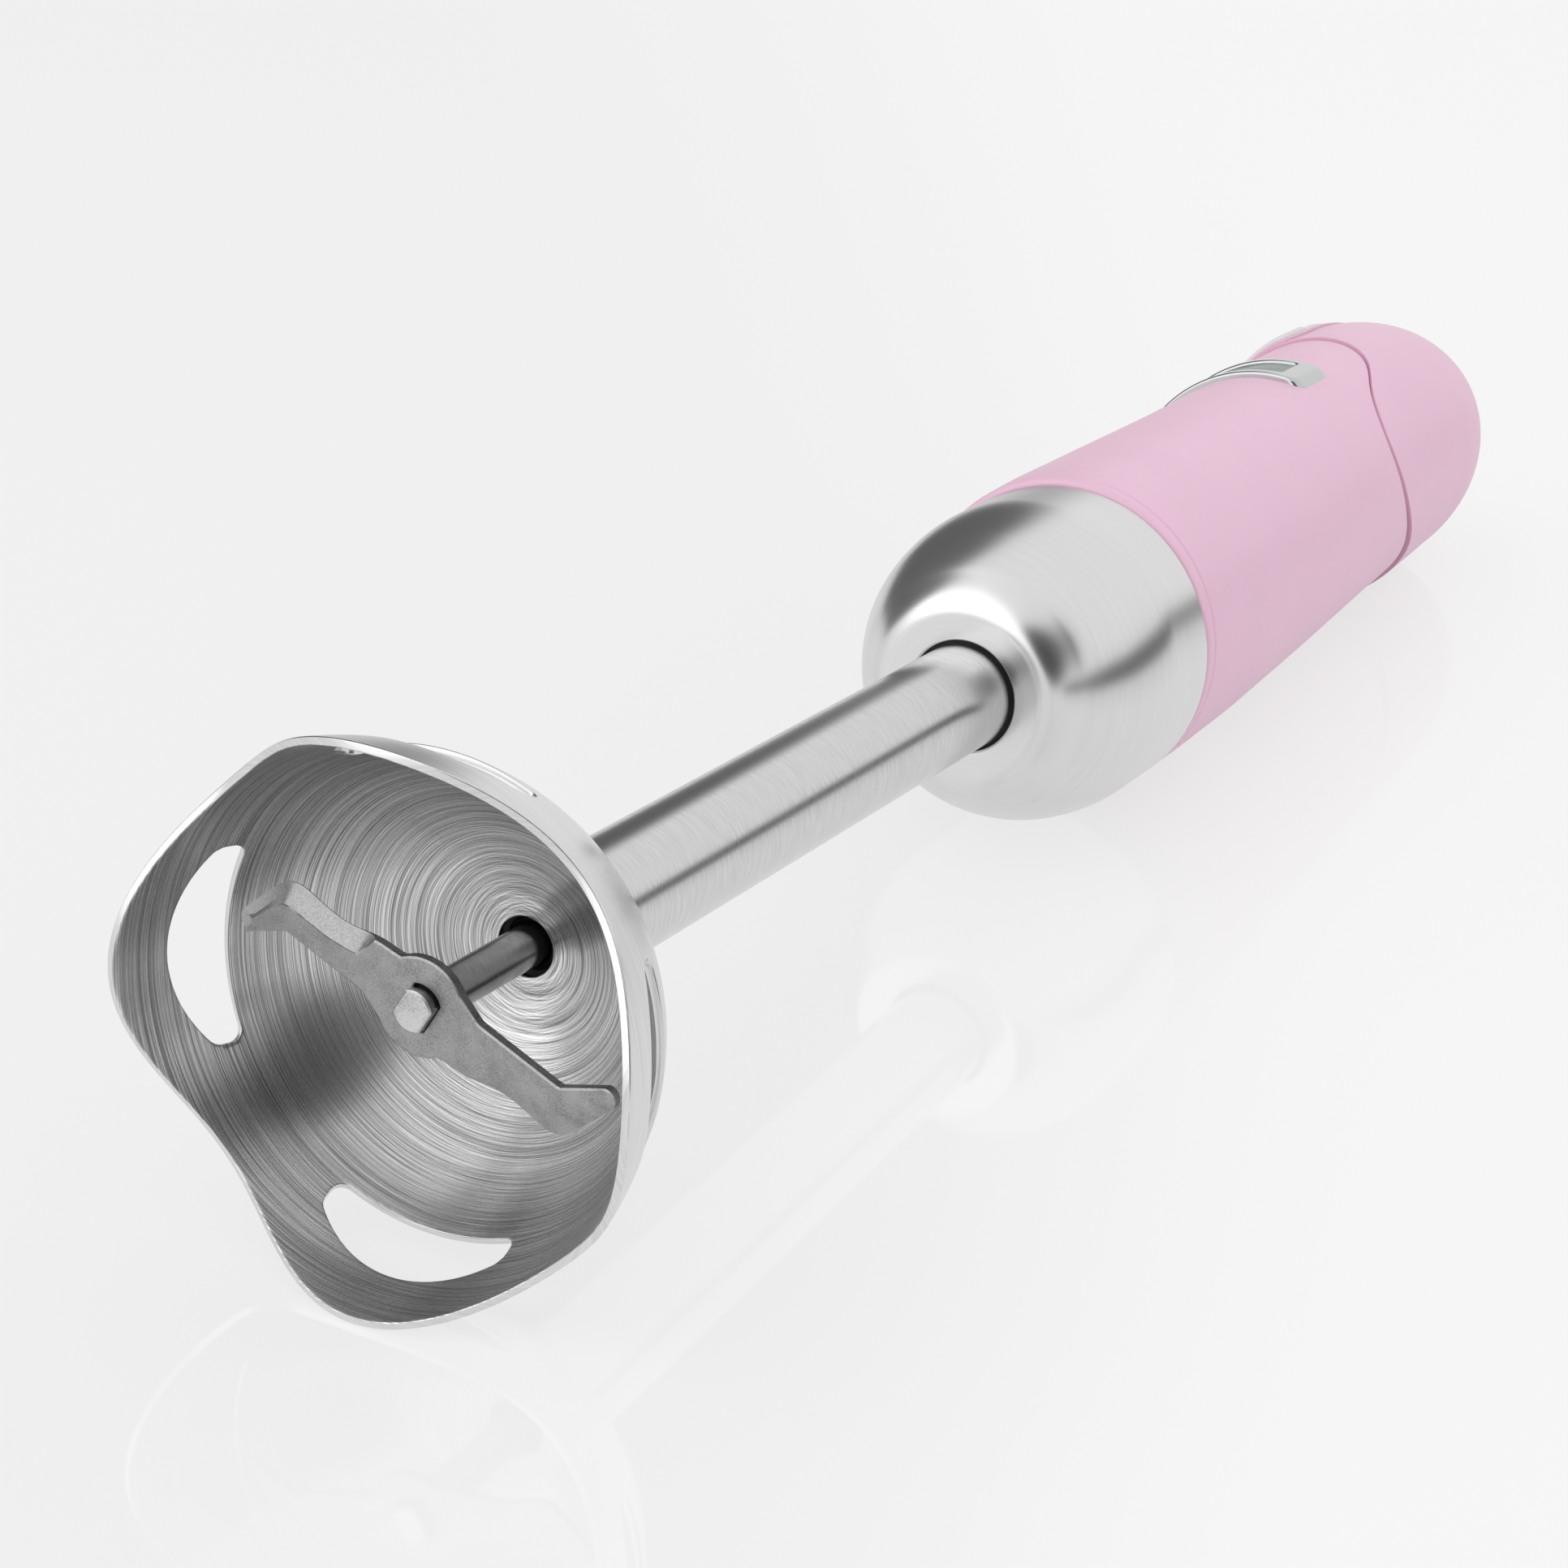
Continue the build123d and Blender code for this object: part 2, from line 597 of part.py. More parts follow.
def end_cap():
    shell = cap_form() & above_seam()
    shell -= cap_form(-SHELL) & slab(BODY_START, CAP_TOP - SHELL)
    shell -= bezel_prism()
    return shell - rod_at_end(DIAL_SKIRT_R + REST_GAP, CAP_TOP - 2 * SHELL, CAP_TOP + SHELL)


def rod_at_end(radius, bottom, top):
    """Round bar on the dial's axis, which is the middle of the cap."""
    return Pos(CAP_CENTRE, 0, 0) * rod(radius, bottom, top)


def ring_at_end(inner, outer, bottom, top):
    """Round sleeve on the dial's axis."""
    return Pos(CAP_CENTRE, 0, 0) * ring(inner, outer, bottom, top)


# ================================================================ name plate
def plate_window(inset):
    """Prism of the name plate's outline, moved inwards by an inset."""
    foot = BODY_START + PLATE_BOTTOM + inset
    return front_window(PLATE_HALF_WIDTH - inset, foot, PLATE_HEIGHT - 2 * inset, PLATE_CORNER_R)


def nameplate_frame():
    band = plate_window(0) - plate_window(PLATE_BAND)
    return band & (body_form(PLATE_PROUD) - body_form(-PLATE_SUNK))


def nameplate():
    return plate_window(PLATE_BAND) & (body_form() - body_form(-PLATE_SUNK))


# ================================================================ buttons and switches
def bezel_prism():
    foot = BODY_START + BEZEL_BOTTOM
    return front_window(BEZEL_HALF_WIDTH, foot, BEZEL_HEIGHT, BEZEL_CORNER_R)


def button_foot(index):
    """Height of the lower edge of button 0 (power) or 1 (turbo)."""
    pitch = BEZEL_HEIGHT - 2 * BUTTON_MARGIN - BUTTON_HEIGHT
    return BODY_START + BEZEL_BOTTOM + BUTTON_MARGIN + index * pitch


def button_middle(index):
    return button_foot(index) + BUTTON_HEIGHT / 2


def button_bezel():
    bezel = bezel_prism() & (cap_form(BEZEL_PROUD) - cap_form(-SHELL))
    foot = BODY_START + BEZEL_BOTTOM
    post = block((board_face(), FAR), (-POST_HALF_WIDTH, POST_HALF_WIDTH), (foot, foot + POST_LENGTH))
    bezel += post & bezel_prism() & cap_form(-SHELL)
    for index in range(2):
        bezel -= front_window(
            BUTTON_HALF_WIDTH + BUTTON_GAP, button_foot(index) - BUTTON_GAP,
            BUTTON_HEIGHT + 2 * BUTTON_GAP, BUTTON_CORNER_R + BUTTON_GAP,
        )
    return bezel


def button(index):
    """Button: its face follows the handle, a flange keeps it in and a stem carries its plunger."""
    foot = button_foot(index)
    flange_top = -SHELL - REST_GAP
    inside = cap_form(flange_top - BUTTON_FLANGE)
    key = front_window(BUTTON_HALF_WIDTH, foot, BUTTON_HEIGHT, BUTTON_CORNER_R)
    crown = key & (cap_form(BUTTON_PROUD) - inside)
    rim = front_window(
        BUTTON_HALF_WIDTH + BUTTON_FLANGE, foot - BUTTON_FLANGE,
        BUTTON_HEIGHT + 2 * BUTTON_FLANGE, BUTTON_CORNER_R + BUTTON_FLANGE,
    )
    flange = rim & (cap_form(flange_top) - inside)
    stem = extrude(front_circle(2 * PLUNGER_R, plunger_top(), index), FAR) & cap_form(flange_top)
    return crown + flange + stem


def front_circle(radius, x, index):
    """Circle that faces the front, on the axis of a button's plunger."""
    plane = Plane(origin=(x, 0, button_middle(index)), x_dir=(0, 1, 0), z_dir=(1, 0, 0))
    return plane * Circle(radius)


def board_face():
    """Front-back place of the switch board's front."""
    return BOARD_X + BOARD_THICKNESS


def plunger_top():
    """Front-back place where plungers end and button stems begin."""
    return board_face() + SWITCH_SIZE[0] + BUTTON_TRAVEL + REST_GAP


def plunger(index):
    foot = board_face() + SWITCH_SIZE[0] - PLUNGER_DIP
    return extrude(front_circle(PLUNGER_R, foot, index), plunger_top() - foot)


def switch(index):
    foot = board_face()
    depth, width, length = SWITCH_SIZE
    middle = button_middle(index)
    case = block((foot, foot + depth), (-width / 2, width / 2), (middle - length / 2, middle + length / 2))
    well = PLUNGER_DIP + BUTTON_TRAVEL + REST_GAP
    return case - extrude(front_circle(PLUNGER_R + PLUNGER_GAP, foot + depth - well, index), FAR)


def switch_board():
    foot = BODY_START + BEZEL_BOTTOM
    return block(
        (BOARD_X, board_face()),
        (-BEZEL_HALF_WIDTH, BEZEL_HALF_WIDTH),
        (foot, BRIDGE_TOP - BRIDGE_THICKNESS),
    )


# ================================================================ motor
def coupling_socket():
    """Plastic socket that the shaft unit's sleeve plugs into."""
    solid = seat_plate(LIP_START + SHELL, SOCKET_TOP)
    solid -= rod(SLEEVE_R + SLIDING, LIP_START, SOCKET_TOP - SOCKET_FLOOR)
    keyway = block(
        (SLEEVE_R - SLEEVE_WALL, SLEEVE_R + KEY_DEPTH + SLIDING),
        (-KEY_WIDTH / 2 - SLIDING, KEY_WIDTH / 2 + SLIDING),
        (LIP_START, SOCKET_TOP - SOCKET_FLOOR),
    )
    return solid - around(keyway, 2) - rod(COUPLER_R + COUPLER_ROOM, LIP_START, SOCKET_TOP)


def damping_ring_front():
    plate = seat_plate(SOCKET_TOP, FRONT_BRACKET_FOOT)
    return plate - rod(DAMPER_HOLE_R, SOCKET_TOP, FRONT_BRACKET_FOOT)


def at_screws(shape):
    """Copies of a shape at the places of the motor screws, between the stator's poles."""
    return around(shape, MOTOR_SCREWS, first=180 / MOTOR_SCREWS)


def bracket_posts(bottom, top):
    """Posts between a bracket and the stator."""
    return at_screws(Pos(POST_CIRCLE_R, 0, 0) * ring(SCREW_R, POST_R, bottom, top))


def screw_holes(bottom, top):
    return at_screws(Pos(POST_CIRCLE_R, 0, 0) * rod(SCREW_R, bottom, top))


def front_bracket():
    plate = rod(STATOR_R, FRONT_BRACKET_FOOT, FRONT_BRACKET_TOP)
    pocket = FRONT_BRACKET_TOP - BEARING_LENGTH
    plate -= rod(BEARING_R, pocket, FRONT_BRACKET_TOP)
    plate -= rod(MOTOR_SHAFT_R + REST_GAP, FRONT_BRACKET_FOOT, pocket)
    plate -= screw_holes(FRONT_BRACKET_FOOT, FRONT_BRACKET_TOP)
    return plate + bracket_posts(FRONT_BRACKET_TOP, STATOR_FOOT)


def front_bearing():
    return ring(MOTOR_SHAFT_R + RUNNING, BEARING_R, FRONT_BRACKET_TOP - BEARING_LENGTH, FRONT_BRACKET_TOP)


def rear_bracket():
    plate = rod(STATOR_R, REAR_PLATE_FOOT, REAR_PLATE_TOP)
    cup = ring(BEARING_R, BEARING_R + BEARING_CUP_WALL, REAR_PLATE_FOOT, REAR_BEARING_TOP)
    plate -= rod(BEARING_R, REAR_PLATE_FOOT, REAR_PLATE_TOP)
    plate -= screw_holes(REAR_PLATE_FOOT, REAR_PLATE_TOP)
    return plate + cup + bracket_posts(STATOR_TOP, REAR_PLATE_FOOT)


def rear_bearing():
    return ring(MOTOR_SHAFT_R + RUNNING, BEARING_R, REAR_PLATE_FOOT + BEARING_STEP, REAR_BEARING_TOP)


def damping_ring_rear():
    plate = seat_plate(REAR_PLATE_FOOT + REAR_DAMPER_STEP, REAR_PLATE_TOP - REAR_DAMPER_STEP)
    return plate - rod(STATOR_R, REAR_PLATE_FOOT, REAR_PLATE_TOP)


def motor_screws():
    """Long screws through both brackets and the stator."""
    shank = rod(SCREW_R, FRONT_BRACKET_FOOT, REAR_PLATE_TOP)
    head = extrude(Circle(2 * SCREW_R) - RegularPolygon(SCREW_RECESS_R, 4), SCREW_HEAD)
    screw = Pos(POST_CIRCLE_R, 0, 0) * (shank + Pos(0, 0, REAR_PLATE_TOP) * head)
    return Compound(at_screws(screw))


def stator_core():
    """Laminated ring with two pole pieces."""
    yoke = Circle(STATOR_R) - Circle(STATOR_R - STATOR_YOKE)
    poles = Rectangle(2 * STATOR_R, 2 * POLE_HALF_WIDTH) & Circle(STATOR_R)
    core = extrude(yoke + poles - Circle(POLE_FACE_R), STATOR_LENGTH)
    return Pos(0, 0, STATOR_FOOT) * core - screw_holes(STATOR_FOOT, STATOR_TOP)


def field_coils():
    """Two coils that lie beside the poles and loop over the stator's ends."""
    foot = STATOR_FOOT - COIL_LENGTH_OUT
    top = STATOR_TOP + COIL_LENGTH_OUT
    room = Circle(STATOR_R - STATOR_YOKE - WINDING_GAP) - Circle(POLE_FACE_R + COIL_GAP)
    poles = Rectangle(2 * STATOR_R, 2 * (POLE_HALF_WIDTH + WINDING_GAP))
    coils = Pos(0, 0, foot) * extrude(room, COIL_LENGTH_OUT)
    coils += Pos(0, 0, STATOR_FOOT) * extrude(room - poles, STATOR_LENGTH)
    coils += Pos(0, 0, STATOR_TOP) * extrude(room, COIL_LENGTH_OUT)
    coils -= block((-COIL_GAP, COIL_GAP), (-STATOR_R, STATOR_R), (foot, top))
    return Compound(coils.solids())


def armature_core():
    core = rod(ARMATURE_R, STATOR_FOOT, STATOR_TOP) - rod(MOTOR_SHAFT_R, STATOR_FOOT, STATOR_TOP)
    return core - around(armature_slot(STATOR_FOOT, STATOR_TOP), ARMATURE_SLOTS)


def armature_slot(bottom, top):
    return block(
        (ARMATURE_R - SLOT_CUT_DEPTH, 2 * ARMATURE_R),
        (-SLOT_CUT_WIDTH / 2, SLOT_CUT_WIDTH / 2),
        (bottom, top),
    )


def armature_windings():
    """Wire bundles in the slots, joined by a head at each end."""
    inner = ARMATURE_R - SLOT_CUT_DEPTH
    outer = ARMATURE_R - WINDING_SUNK
    bar = block((inner, outer), (-SLOT_CUT_WIDTH / 2, SLOT_CUT_WIDTH / 2), (STATOR_FOOT, STATOR_TOP))
    lower = ring(MOTOR_SHAFT_R + SLEEVING, outer, STATOR_FOOT - WINDING_HEAD, STATOR_FOOT)
    upper = ring(MOTOR_SHAFT_R + SLEEVING, outer, STATOR_TOP, STATOR_TOP + WINDING_HEAD)
    return lower + upper + around(bar, ARMATURE_SLOTS)


def commutator():
    foot = COMMUTATOR_FOOT
    top = foot + COMMUTATOR_LENGTH
    slit = block((COMMUTATOR_R - BAR_SLIT_DEPTH, FAR), (-BAR_SLIT / 2, BAR_SLIT / 2), (foot, top))
    return ring(MOTOR_SHAFT_R, COMMUTATOR_R, foot, top) - around(slit, ARMATURE_SLOTS)


def motor_shaft():
    return rod(MOTOR_SHAFT_R, DRIVE_FOOT + COUPLER_END, REAR_BEARING_TOP - EDGE_GAP)


def cooling_fan():
    top = FAN_FOOT + FAN_HEIGHT
    hub = ring(MOTOR_SHAFT_R, FAN_HUB_R, FAN_FOOT, top)
    disc = ring(MOTOR_SHAFT_R, FAN_R, FAN_FOOT, FAN_FOOT + FAN_DISC)
    vane = block((FAN_HUB_R - FAN_DISC, FAN_R - FAN_DISC), (-FAN_DISC / 2, FAN_DISC / 2), (FAN_FOOT, top))
    swept = Pos(FAN_HUB_R, 0, 0) * Rot(0, 0, FAN_SWEEP) * Pos(-FAN_HUB_R, 0, 0) * vane
    return hub + disc + around(swept, FAN_BLADES)


def drive_coupler():
    hub_top = SOCKET_TOP - EDGE_GAP
    hub = rod(COUPLER_R, DRIVE_FOOT, hub_top) - rod(MOTOR_SHAFT_R, DRIVE_FOOT + COUPLER_END, hub_top)
    return hub + dogs(DRIVEN_TOP + EDGE_GAP, DRIVE_FOOT, 180 / DOGS)


def brush_level():
    """Height of the brushes' middle."""
    return COMMUTATOR_FOOT + COMMUTATOR_LENGTH / 2


def brush_holders():
    """Two brass boxes that hang from the rear bracket beside the commutator."""
    half = BRUSH_SIDE / 2 + BRUSH_BOX_WALL
    middle = brush_level()
    reach = (COMMUTATOR_R + BRUSH_BOX_GAP, BRUSH_BOX_END)
    box = block(reach, (-half, half), (middle - half, REAR_PLATE_FOOT))
    hollow = block(
        (COMMUTATOR_R, BRUSH_BOX_END - BRUSH_BOX_WALL),
        (-BRUSH_SIDE / 2, BRUSH_SIDE / 2),
        (middle - BRUSH_SIDE / 2, middle + BRUSH_SIDE / 2),
    )
    return Compound(around(box - hollow, 2, first=90))


def carbon_brushes():
    middle = brush_level()
    brush = block(
        (COMMUTATOR_R, COMMUTATOR_R + REST_GAP + BRUSH_LENGTH),
        (-BRUSH_SIDE / 2, BRUSH_SIDE / 2),
        (middle - BRUSH_SIDE / 2, middle + BRUSH_SIDE / 2),
    )
    brush -= rod(COMMUTATOR_R + REST_GAP, middle - BRUSH_SIDE, middle + BRUSH_SIDE)
    return Compound(around(brush, 2, first=90))


def brush_springs():
    start = COMMUTATOR_R + REST_GAP + BRUSH_LENGTH + SPRING_WIRE_R
    length = BRUSH_BOX_END - BRUSH_BOX_WALL - SPRING_WIRE_R - start
    path = Helix(SPRING_PITCH, length, SPRING_R)
    wire = Plane(origin=path @ 0, z_dir=path % 0) * Circle(SPRING_WIRE_R)
    coil = Pos(start, 0, brush_level()) * Rot(0, 90, 0) * sweep(wire, path, is_frenet=True)
    return Compound(around(coil, 2, first=90))


# ================================================================ electrics and cord inlet
def power_board():
    thickness, width, height = POWER_BOARD
    return block(
        (POWER_BOARD_X - thickness, POWER_BOARD_X),
        (-width / 2, width / 2),
        (REAR_BEARING_TOP, REAR_BEARING_TOP + height),
    )


def capacitor():
    depth, width, height = CAPACITOR
    foot = REAR_BEARING_TOP + POWER_BOARD[2] - height - BOARD_MARGIN
    return block((POWER_BOARD_X, POWER_BOARD_X + depth), (-width / 2, width / 2), (foot, foot + height))


def choke_coils():
    """Two suppression chokes side by side on the power board."""
    foot = REAR_BEARING_TOP + BOARD_MARGIN
    chokes = []
    for side in (-1, 1):
        core = ring(CHOKE_BORE_R, CHOKE_R, foot, foot + CHOKE_LENGTH)
        chokes.append(Pos(POWER_BOARD_X + CHOKE_R, side * (CHOKE_R + CHOKE_SPACING / 2), 0) * core)
    return Compound(chokes)


def gland_bridge():
    """Plate across the cap that carries the cord gland."""
    plate = cap_form(-SHELL) & slab(BRIDGE_TOP - BRIDGE_THICKNESS, BRIDGE_TOP)
    return plate - rod_at_end(GLAND_R, BRIDGE_TOP - BRIDGE_THICKNESS, BRIDGE_TOP)


def cord_gland():
    """Strain relief socket through the dial's middle, with a flange on the bridge."""
    tube = rod_at_end(GLAND_R, BRIDGE_TOP - BRIDGE_THICKNESS, CAP_TOP + GLAND_RISE)
    flange = rod_at_end(GLAND_FLANGE_R, BRIDGE_TOP, BRIDGE_TOP + GLAND_FLANGE)
    mouth = rod_at_end(GLAND_BORE_R, BRIDGE_TOP - BRIDGE_THICKNESS, CAP_TOP + GLAND_RISE)
    return tube + flange - mouth


def cord_clamp():
    """Bar under the bridge, beside the gland's bore, that a cord is pressed against."""
    depth, width, height = CLAMP_SIZE
    top = BRIDGE_TOP - BRIDGE_THICKNESS
    face = CAP_CENTRE - GLAND_BORE_R
    return block((face - depth, face), (-width / 2, width / 2), (top - height, top))


def terminal_block():
    depth, width, height = TERMINAL_BLOCK
    top = BRIDGE_TOP - BRIDGE_THICKNESS
    high = CAP_CENTRE - GLAND_BORE_R - CLAMP_SIZE[0] - TERMINAL_SPACING
    body = block((high - depth, high), (-width / 2, width / 2), (top - height, top))
    for side in (-1, 1):
        mouth = Plane(origin=(high, side * width / 4, top - height / 2), z_dir=(-1, 0, 0))
        hole = mouth * Circle(TERMINAL_HOLE_R)
        body -= extrude(hole, TERMINAL_HOLE_DEPTH)
    return body


def speed_track():
    """Ring-shaped board under the dial."""
    foot = BRIDGE_TOP + GLAND_FLANGE
    return ring_at_end(GLAND_R, TRACK_R, foot, foot + TRACK_THICKNESS)


# ================================================================ speed dial
def speed_dial():
    foot = CAP_TOP + REST_GAP
    top = CAP_TOP + DIAL_HEIGHT
    knob = rod(DIAL_R, foot, top)
    knob = fillet(knob.edges().sort_by(Axis.Z)[-1], DIAL_ROUND)
    knob += rod(DIAL_SKIRT_R, retainer_foot(), foot)
    knob -= rod(GLAND_R + REST_GAP, retainer_foot(), top)
    groove = Pos(DIAL_R + GRIP_R / 2, 0, foot) * extrude(Circle(GRIP_R), top - foot)
    return Pos(CAP_CENTRE, 0, 0) * (knob - around(groove, DIAL_GRIPS))


def retainer_foot():
    return CAP_TOP - SHELL - REST_GAP - RETAINER_THICKNESS


def dial_retainer():
    return ring_at_end(DIAL_SKIRT_R, RETAINER_R, retainer_foot(), retainer_foot() + RETAINER_THICKNESS)


def dial_wiper():
    """Contact under the retainer that runs on the track board."""
    foot = BRIDGE_TOP + GLAND_FLANGE + TRACK_THICKNESS + REST_GAP
    return Pos(CAP_CENTRE, 0, 0) * sector(DIAL_SKIRT_R, RETAINER_R, WIPER_SPAN, foot, retainer_foot())


# ================================================================ laying down and export
def lying(tilt):
    """Placement that lays the upright blender along +Y, tipped down at the handle's end."""
    turned_down = Plane(origin=(0, 0, 0), x_dir=(-1, 0, 1), z_dir=(0, 1, 0))
    return Rot(-tilt, 0, 0) * Location(turned_down)


def lowest(shape, tilt):
    return (lying(tilt) * shape).bounding_box().min.Z


def resting_tilt(foot_piece, end_pieces):
    """Tilt at which the bell's lobe and the handle touch the floor together."""
    low = 0.0
    high = 10.0
    for _ in range(18):
        middle = (low + high) / 2
        gap = min(lowest(piece, middle) for piece in end_pieces) - lowest(foot_piece, middle)
        if gap > 0:
            low = middle
        else:
            high = middle
    return (low + high) / 2


def assembly():
    """All pieces in the upright frame, by node name."""
    return {
        "blade_guard": blade_guard(),
        "shaft_tube": shaft_tube(),
        "shaft_seal": shaft_seal(),
        "lower_carrier": lower_carrier(),
        "lower_bush": lower_bush(),
        "upper_carrier": upper_carrier(),
        "upper_bush": upper_bush(),
        "tube_seal": tube_seal(),
        "coupling_dome": coupling_dome(),
        "shaft_insert": shaft_insert(),
        "drive_shaft": drive_shaft(),
        "retaining_clips": retaining_clips(),
        "blade": blade(),
        "driven_coupler": driven_coupler(),
        "trim_lip": trim_lip(),
        "handle_body": handle_body(),
        "end_cap": end_cap(),
        "nameplate_frame": nameplate_frame(),
        "nameplate": nameplate(),
        "button_bezel": button_bezel(),
        "power_button": button(0),
        "turbo_button": button(1),
        "power_plunger": plunger(0),
        "turbo_plunger": plunger(1),
        "power_switch": switch(0),
        "turbo_switch": switch(1),
        "switch_board": switch_board(),
        "coupling_socket": coupling_socket(),
        "damping_ring_front": damping_ring_front(),
        "damping_ring_rear": damping_ring_rear(),
        "front_bracket": front_bracket(),
        "front_bearing": front_bearing(),
        "rear_bracket": rear_bracket(),
        "rear_bearing": rear_bearing(),
        "motor_screws": motor_screws(),
        "stator_core": stator_core(),
        "field_coils": field_coils(),
        "armature_core": armature_core(),
        "armature_windings": armature_windings(),
        "commutator": commutator(),
        "motor_shaft": motor_shaft(),
        "cooling_fan": cooling_fan(),
        "drive_coupler": drive_coupler(),
        "brush_holders": brush_holders(),
        "carbon_brushes": carbon_brushes(),
        "brush_springs": brush_springs(),
        "power_board": power_board(),
        "capacitor": capacitor(),
        "choke_coils": choke_coils(),
        "gland_bridge": gland_bridge(),
        "cord_gland": cord_gland(),
        "cord_clamp": cord_clamp(),
        "terminal_block": terminal_block(),
        "speed_track": speed_track(),
        "speed_dial": speed_dial(),
        "dial_retainer": dial_retainer(),
        "dial_wiper": dial_wiper(),
    }


def placement(pieces):
    """Final placement: lying on the floor, origin under the middle of the whole blender."""
    handle = [pieces["handle_body"], pieces["end_cap"]]
    tilt = resting_tilt(pieces["blade_guard"], handle)
    laid = lying(tilt)
    boxes = [(laid * shape).bounding_box() for shape in pieces.values()]
    middle_x = (min(b.min.X for b in boxes) + max(b.max.X for b in boxes)) / 2
    middle_y = (min(b.min.Y for b in boxes) + max(b.max.Y for b in boxes)) / 2
    floor = min(b.min.Z for b in boxes)
    return Pos(-middle_x, -middle_y, -floor) * laid


def main():
    os.makedirs("parts", exist_ok=True)
    pieces = assembly()
    laid = placement(pieces)
    for node, shape in pieces.items():
        export_step(laid * shape, f"parts/{node}.step")


main()
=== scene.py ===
import json
import logging
import math
from contextlib import contextmanager
from dataclasses import dataclass
from enum import Enum
from typing import Callable, Iterator, Sequence

import bmesh
import bpy
import numpy as np
from mathutils import Matrix, Vector

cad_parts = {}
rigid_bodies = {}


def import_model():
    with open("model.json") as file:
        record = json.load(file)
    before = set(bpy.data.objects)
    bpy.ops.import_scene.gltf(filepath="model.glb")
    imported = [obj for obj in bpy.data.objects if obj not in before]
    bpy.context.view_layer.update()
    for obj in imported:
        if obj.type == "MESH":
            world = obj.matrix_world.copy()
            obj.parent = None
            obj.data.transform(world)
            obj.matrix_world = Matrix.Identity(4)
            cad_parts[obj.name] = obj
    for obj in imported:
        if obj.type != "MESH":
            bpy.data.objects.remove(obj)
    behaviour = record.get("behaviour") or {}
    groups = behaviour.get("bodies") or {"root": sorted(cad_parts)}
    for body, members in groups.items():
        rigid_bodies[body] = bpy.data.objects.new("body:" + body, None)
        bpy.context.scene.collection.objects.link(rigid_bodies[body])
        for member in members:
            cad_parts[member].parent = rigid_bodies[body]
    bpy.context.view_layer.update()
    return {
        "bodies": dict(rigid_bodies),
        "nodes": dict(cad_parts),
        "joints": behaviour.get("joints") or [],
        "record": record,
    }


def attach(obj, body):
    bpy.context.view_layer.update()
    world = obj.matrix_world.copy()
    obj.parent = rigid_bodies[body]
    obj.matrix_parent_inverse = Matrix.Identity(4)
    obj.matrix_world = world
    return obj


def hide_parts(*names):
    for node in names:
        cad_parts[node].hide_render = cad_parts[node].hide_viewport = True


LOG = logging.getLogger("immersion_blender")
MILLI = 0.001
Point2 = tuple[float, float]
Colour = tuple[float, float, float, float]
Loop = np.ndarray
DOUBLES = 0.0005             # millimetres; vertices closer than this are one
EVEN_PASSES = 12             # times that a window's border is evened out
EASE_PASSES = 24             # times that the vertices beside it are eased
EASED_RINGS = 4              # rings of vertices that are eased
BEHIND = 1e6                 # gap given to a border on the piece's far side


# ---------------------------------------------------------------- where the blender lies
@dataclass(frozen=True)
class Lie:
    """How the upright blender, in millimetres, lies in the row frame, in metres.

    Upright, the long axis is Z with the handle above, height 0 is the hole in the bell and
    the buttons face +X.
    """

    origin: Vector
    front: Vector
    side: Vector
    axis: Vector

    @classmethod
    def from_frame(cls, frame: dict) -> "Lie":
        """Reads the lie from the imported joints.


        Returns:
            The lie of this blender.
        """
        joints = {joint["name"]: joint for joint in frame["joints"]}
        axis = Vector(joints["motor_spin"]["axis"]).normalized()
        front = -Vector(joints["power_press"]["axis"]).normalized()
        origin = Vector(joints["blade_spin"]["pos_m"])
        return cls(origin, front, axis.cross(front).normalized(), axis)

    @property
    def turn(self) -> Matrix:
        """Rotation from upright to lying."""
        return Matrix((self.front, self.side, self.axis)).transposed()

    @property
    def matrix(self) -> Matrix:
        """Upright millimetres to row metres."""
        return Matrix.Translation(self.origin) @ self.turn.to_4x4() @ Matrix.Scale(MILLI, 4)


# ---------------------------------------------------------------- curves
def spline(points: Sequence[Point2], steps: int) -> Loop:
    """Smooth curve through flat points.

    Args:
        points: The points it passes through.
        steps: Number of spans in the result.

    Returns:
        An array of steps + 1 points.
    """
    knots = np.array(points, float)
    chords = np.r_[0.0, np.cumsum(np.hypot(*np.diff(knots, axis=0).T))]
    count = len(knots)
    spans = np.diff(chords)
    system = np.eye(count)
    right = np.zeros((count, 2))
    for i in range(1, count - 1):
        system[i, i - 1:i + 2] = spans[i - 1], 2 * (spans[i - 1] + spans[i]), spans[i]
        right[i] = 6 * ((knots[i + 1] - knots[i]) / spans[i] - (knots[i] - knots[i - 1]) / spans[i - 1])
    bend = np.linalg.solve(system, right)
    places = np.linspace(0, chords[-1], steps + 1)
    k = np.clip(np.searchsorted(chords, places, side="right") - 1, 0, count - 2)
    ahead = (chords[k + 1] - places)[:, None]
    behind = (places - chords[k])[:, None]
    span = spans[k][:, None]
    return (
        (bend[k] * ahead**3 + bend[k + 1] * behind**3) / (6 * span)
        + (knots[k] / span - bend[k] * span / 6) * ahead
        + (knots[k + 1] / span - bend[k + 1] * span / 6) * behind
    )


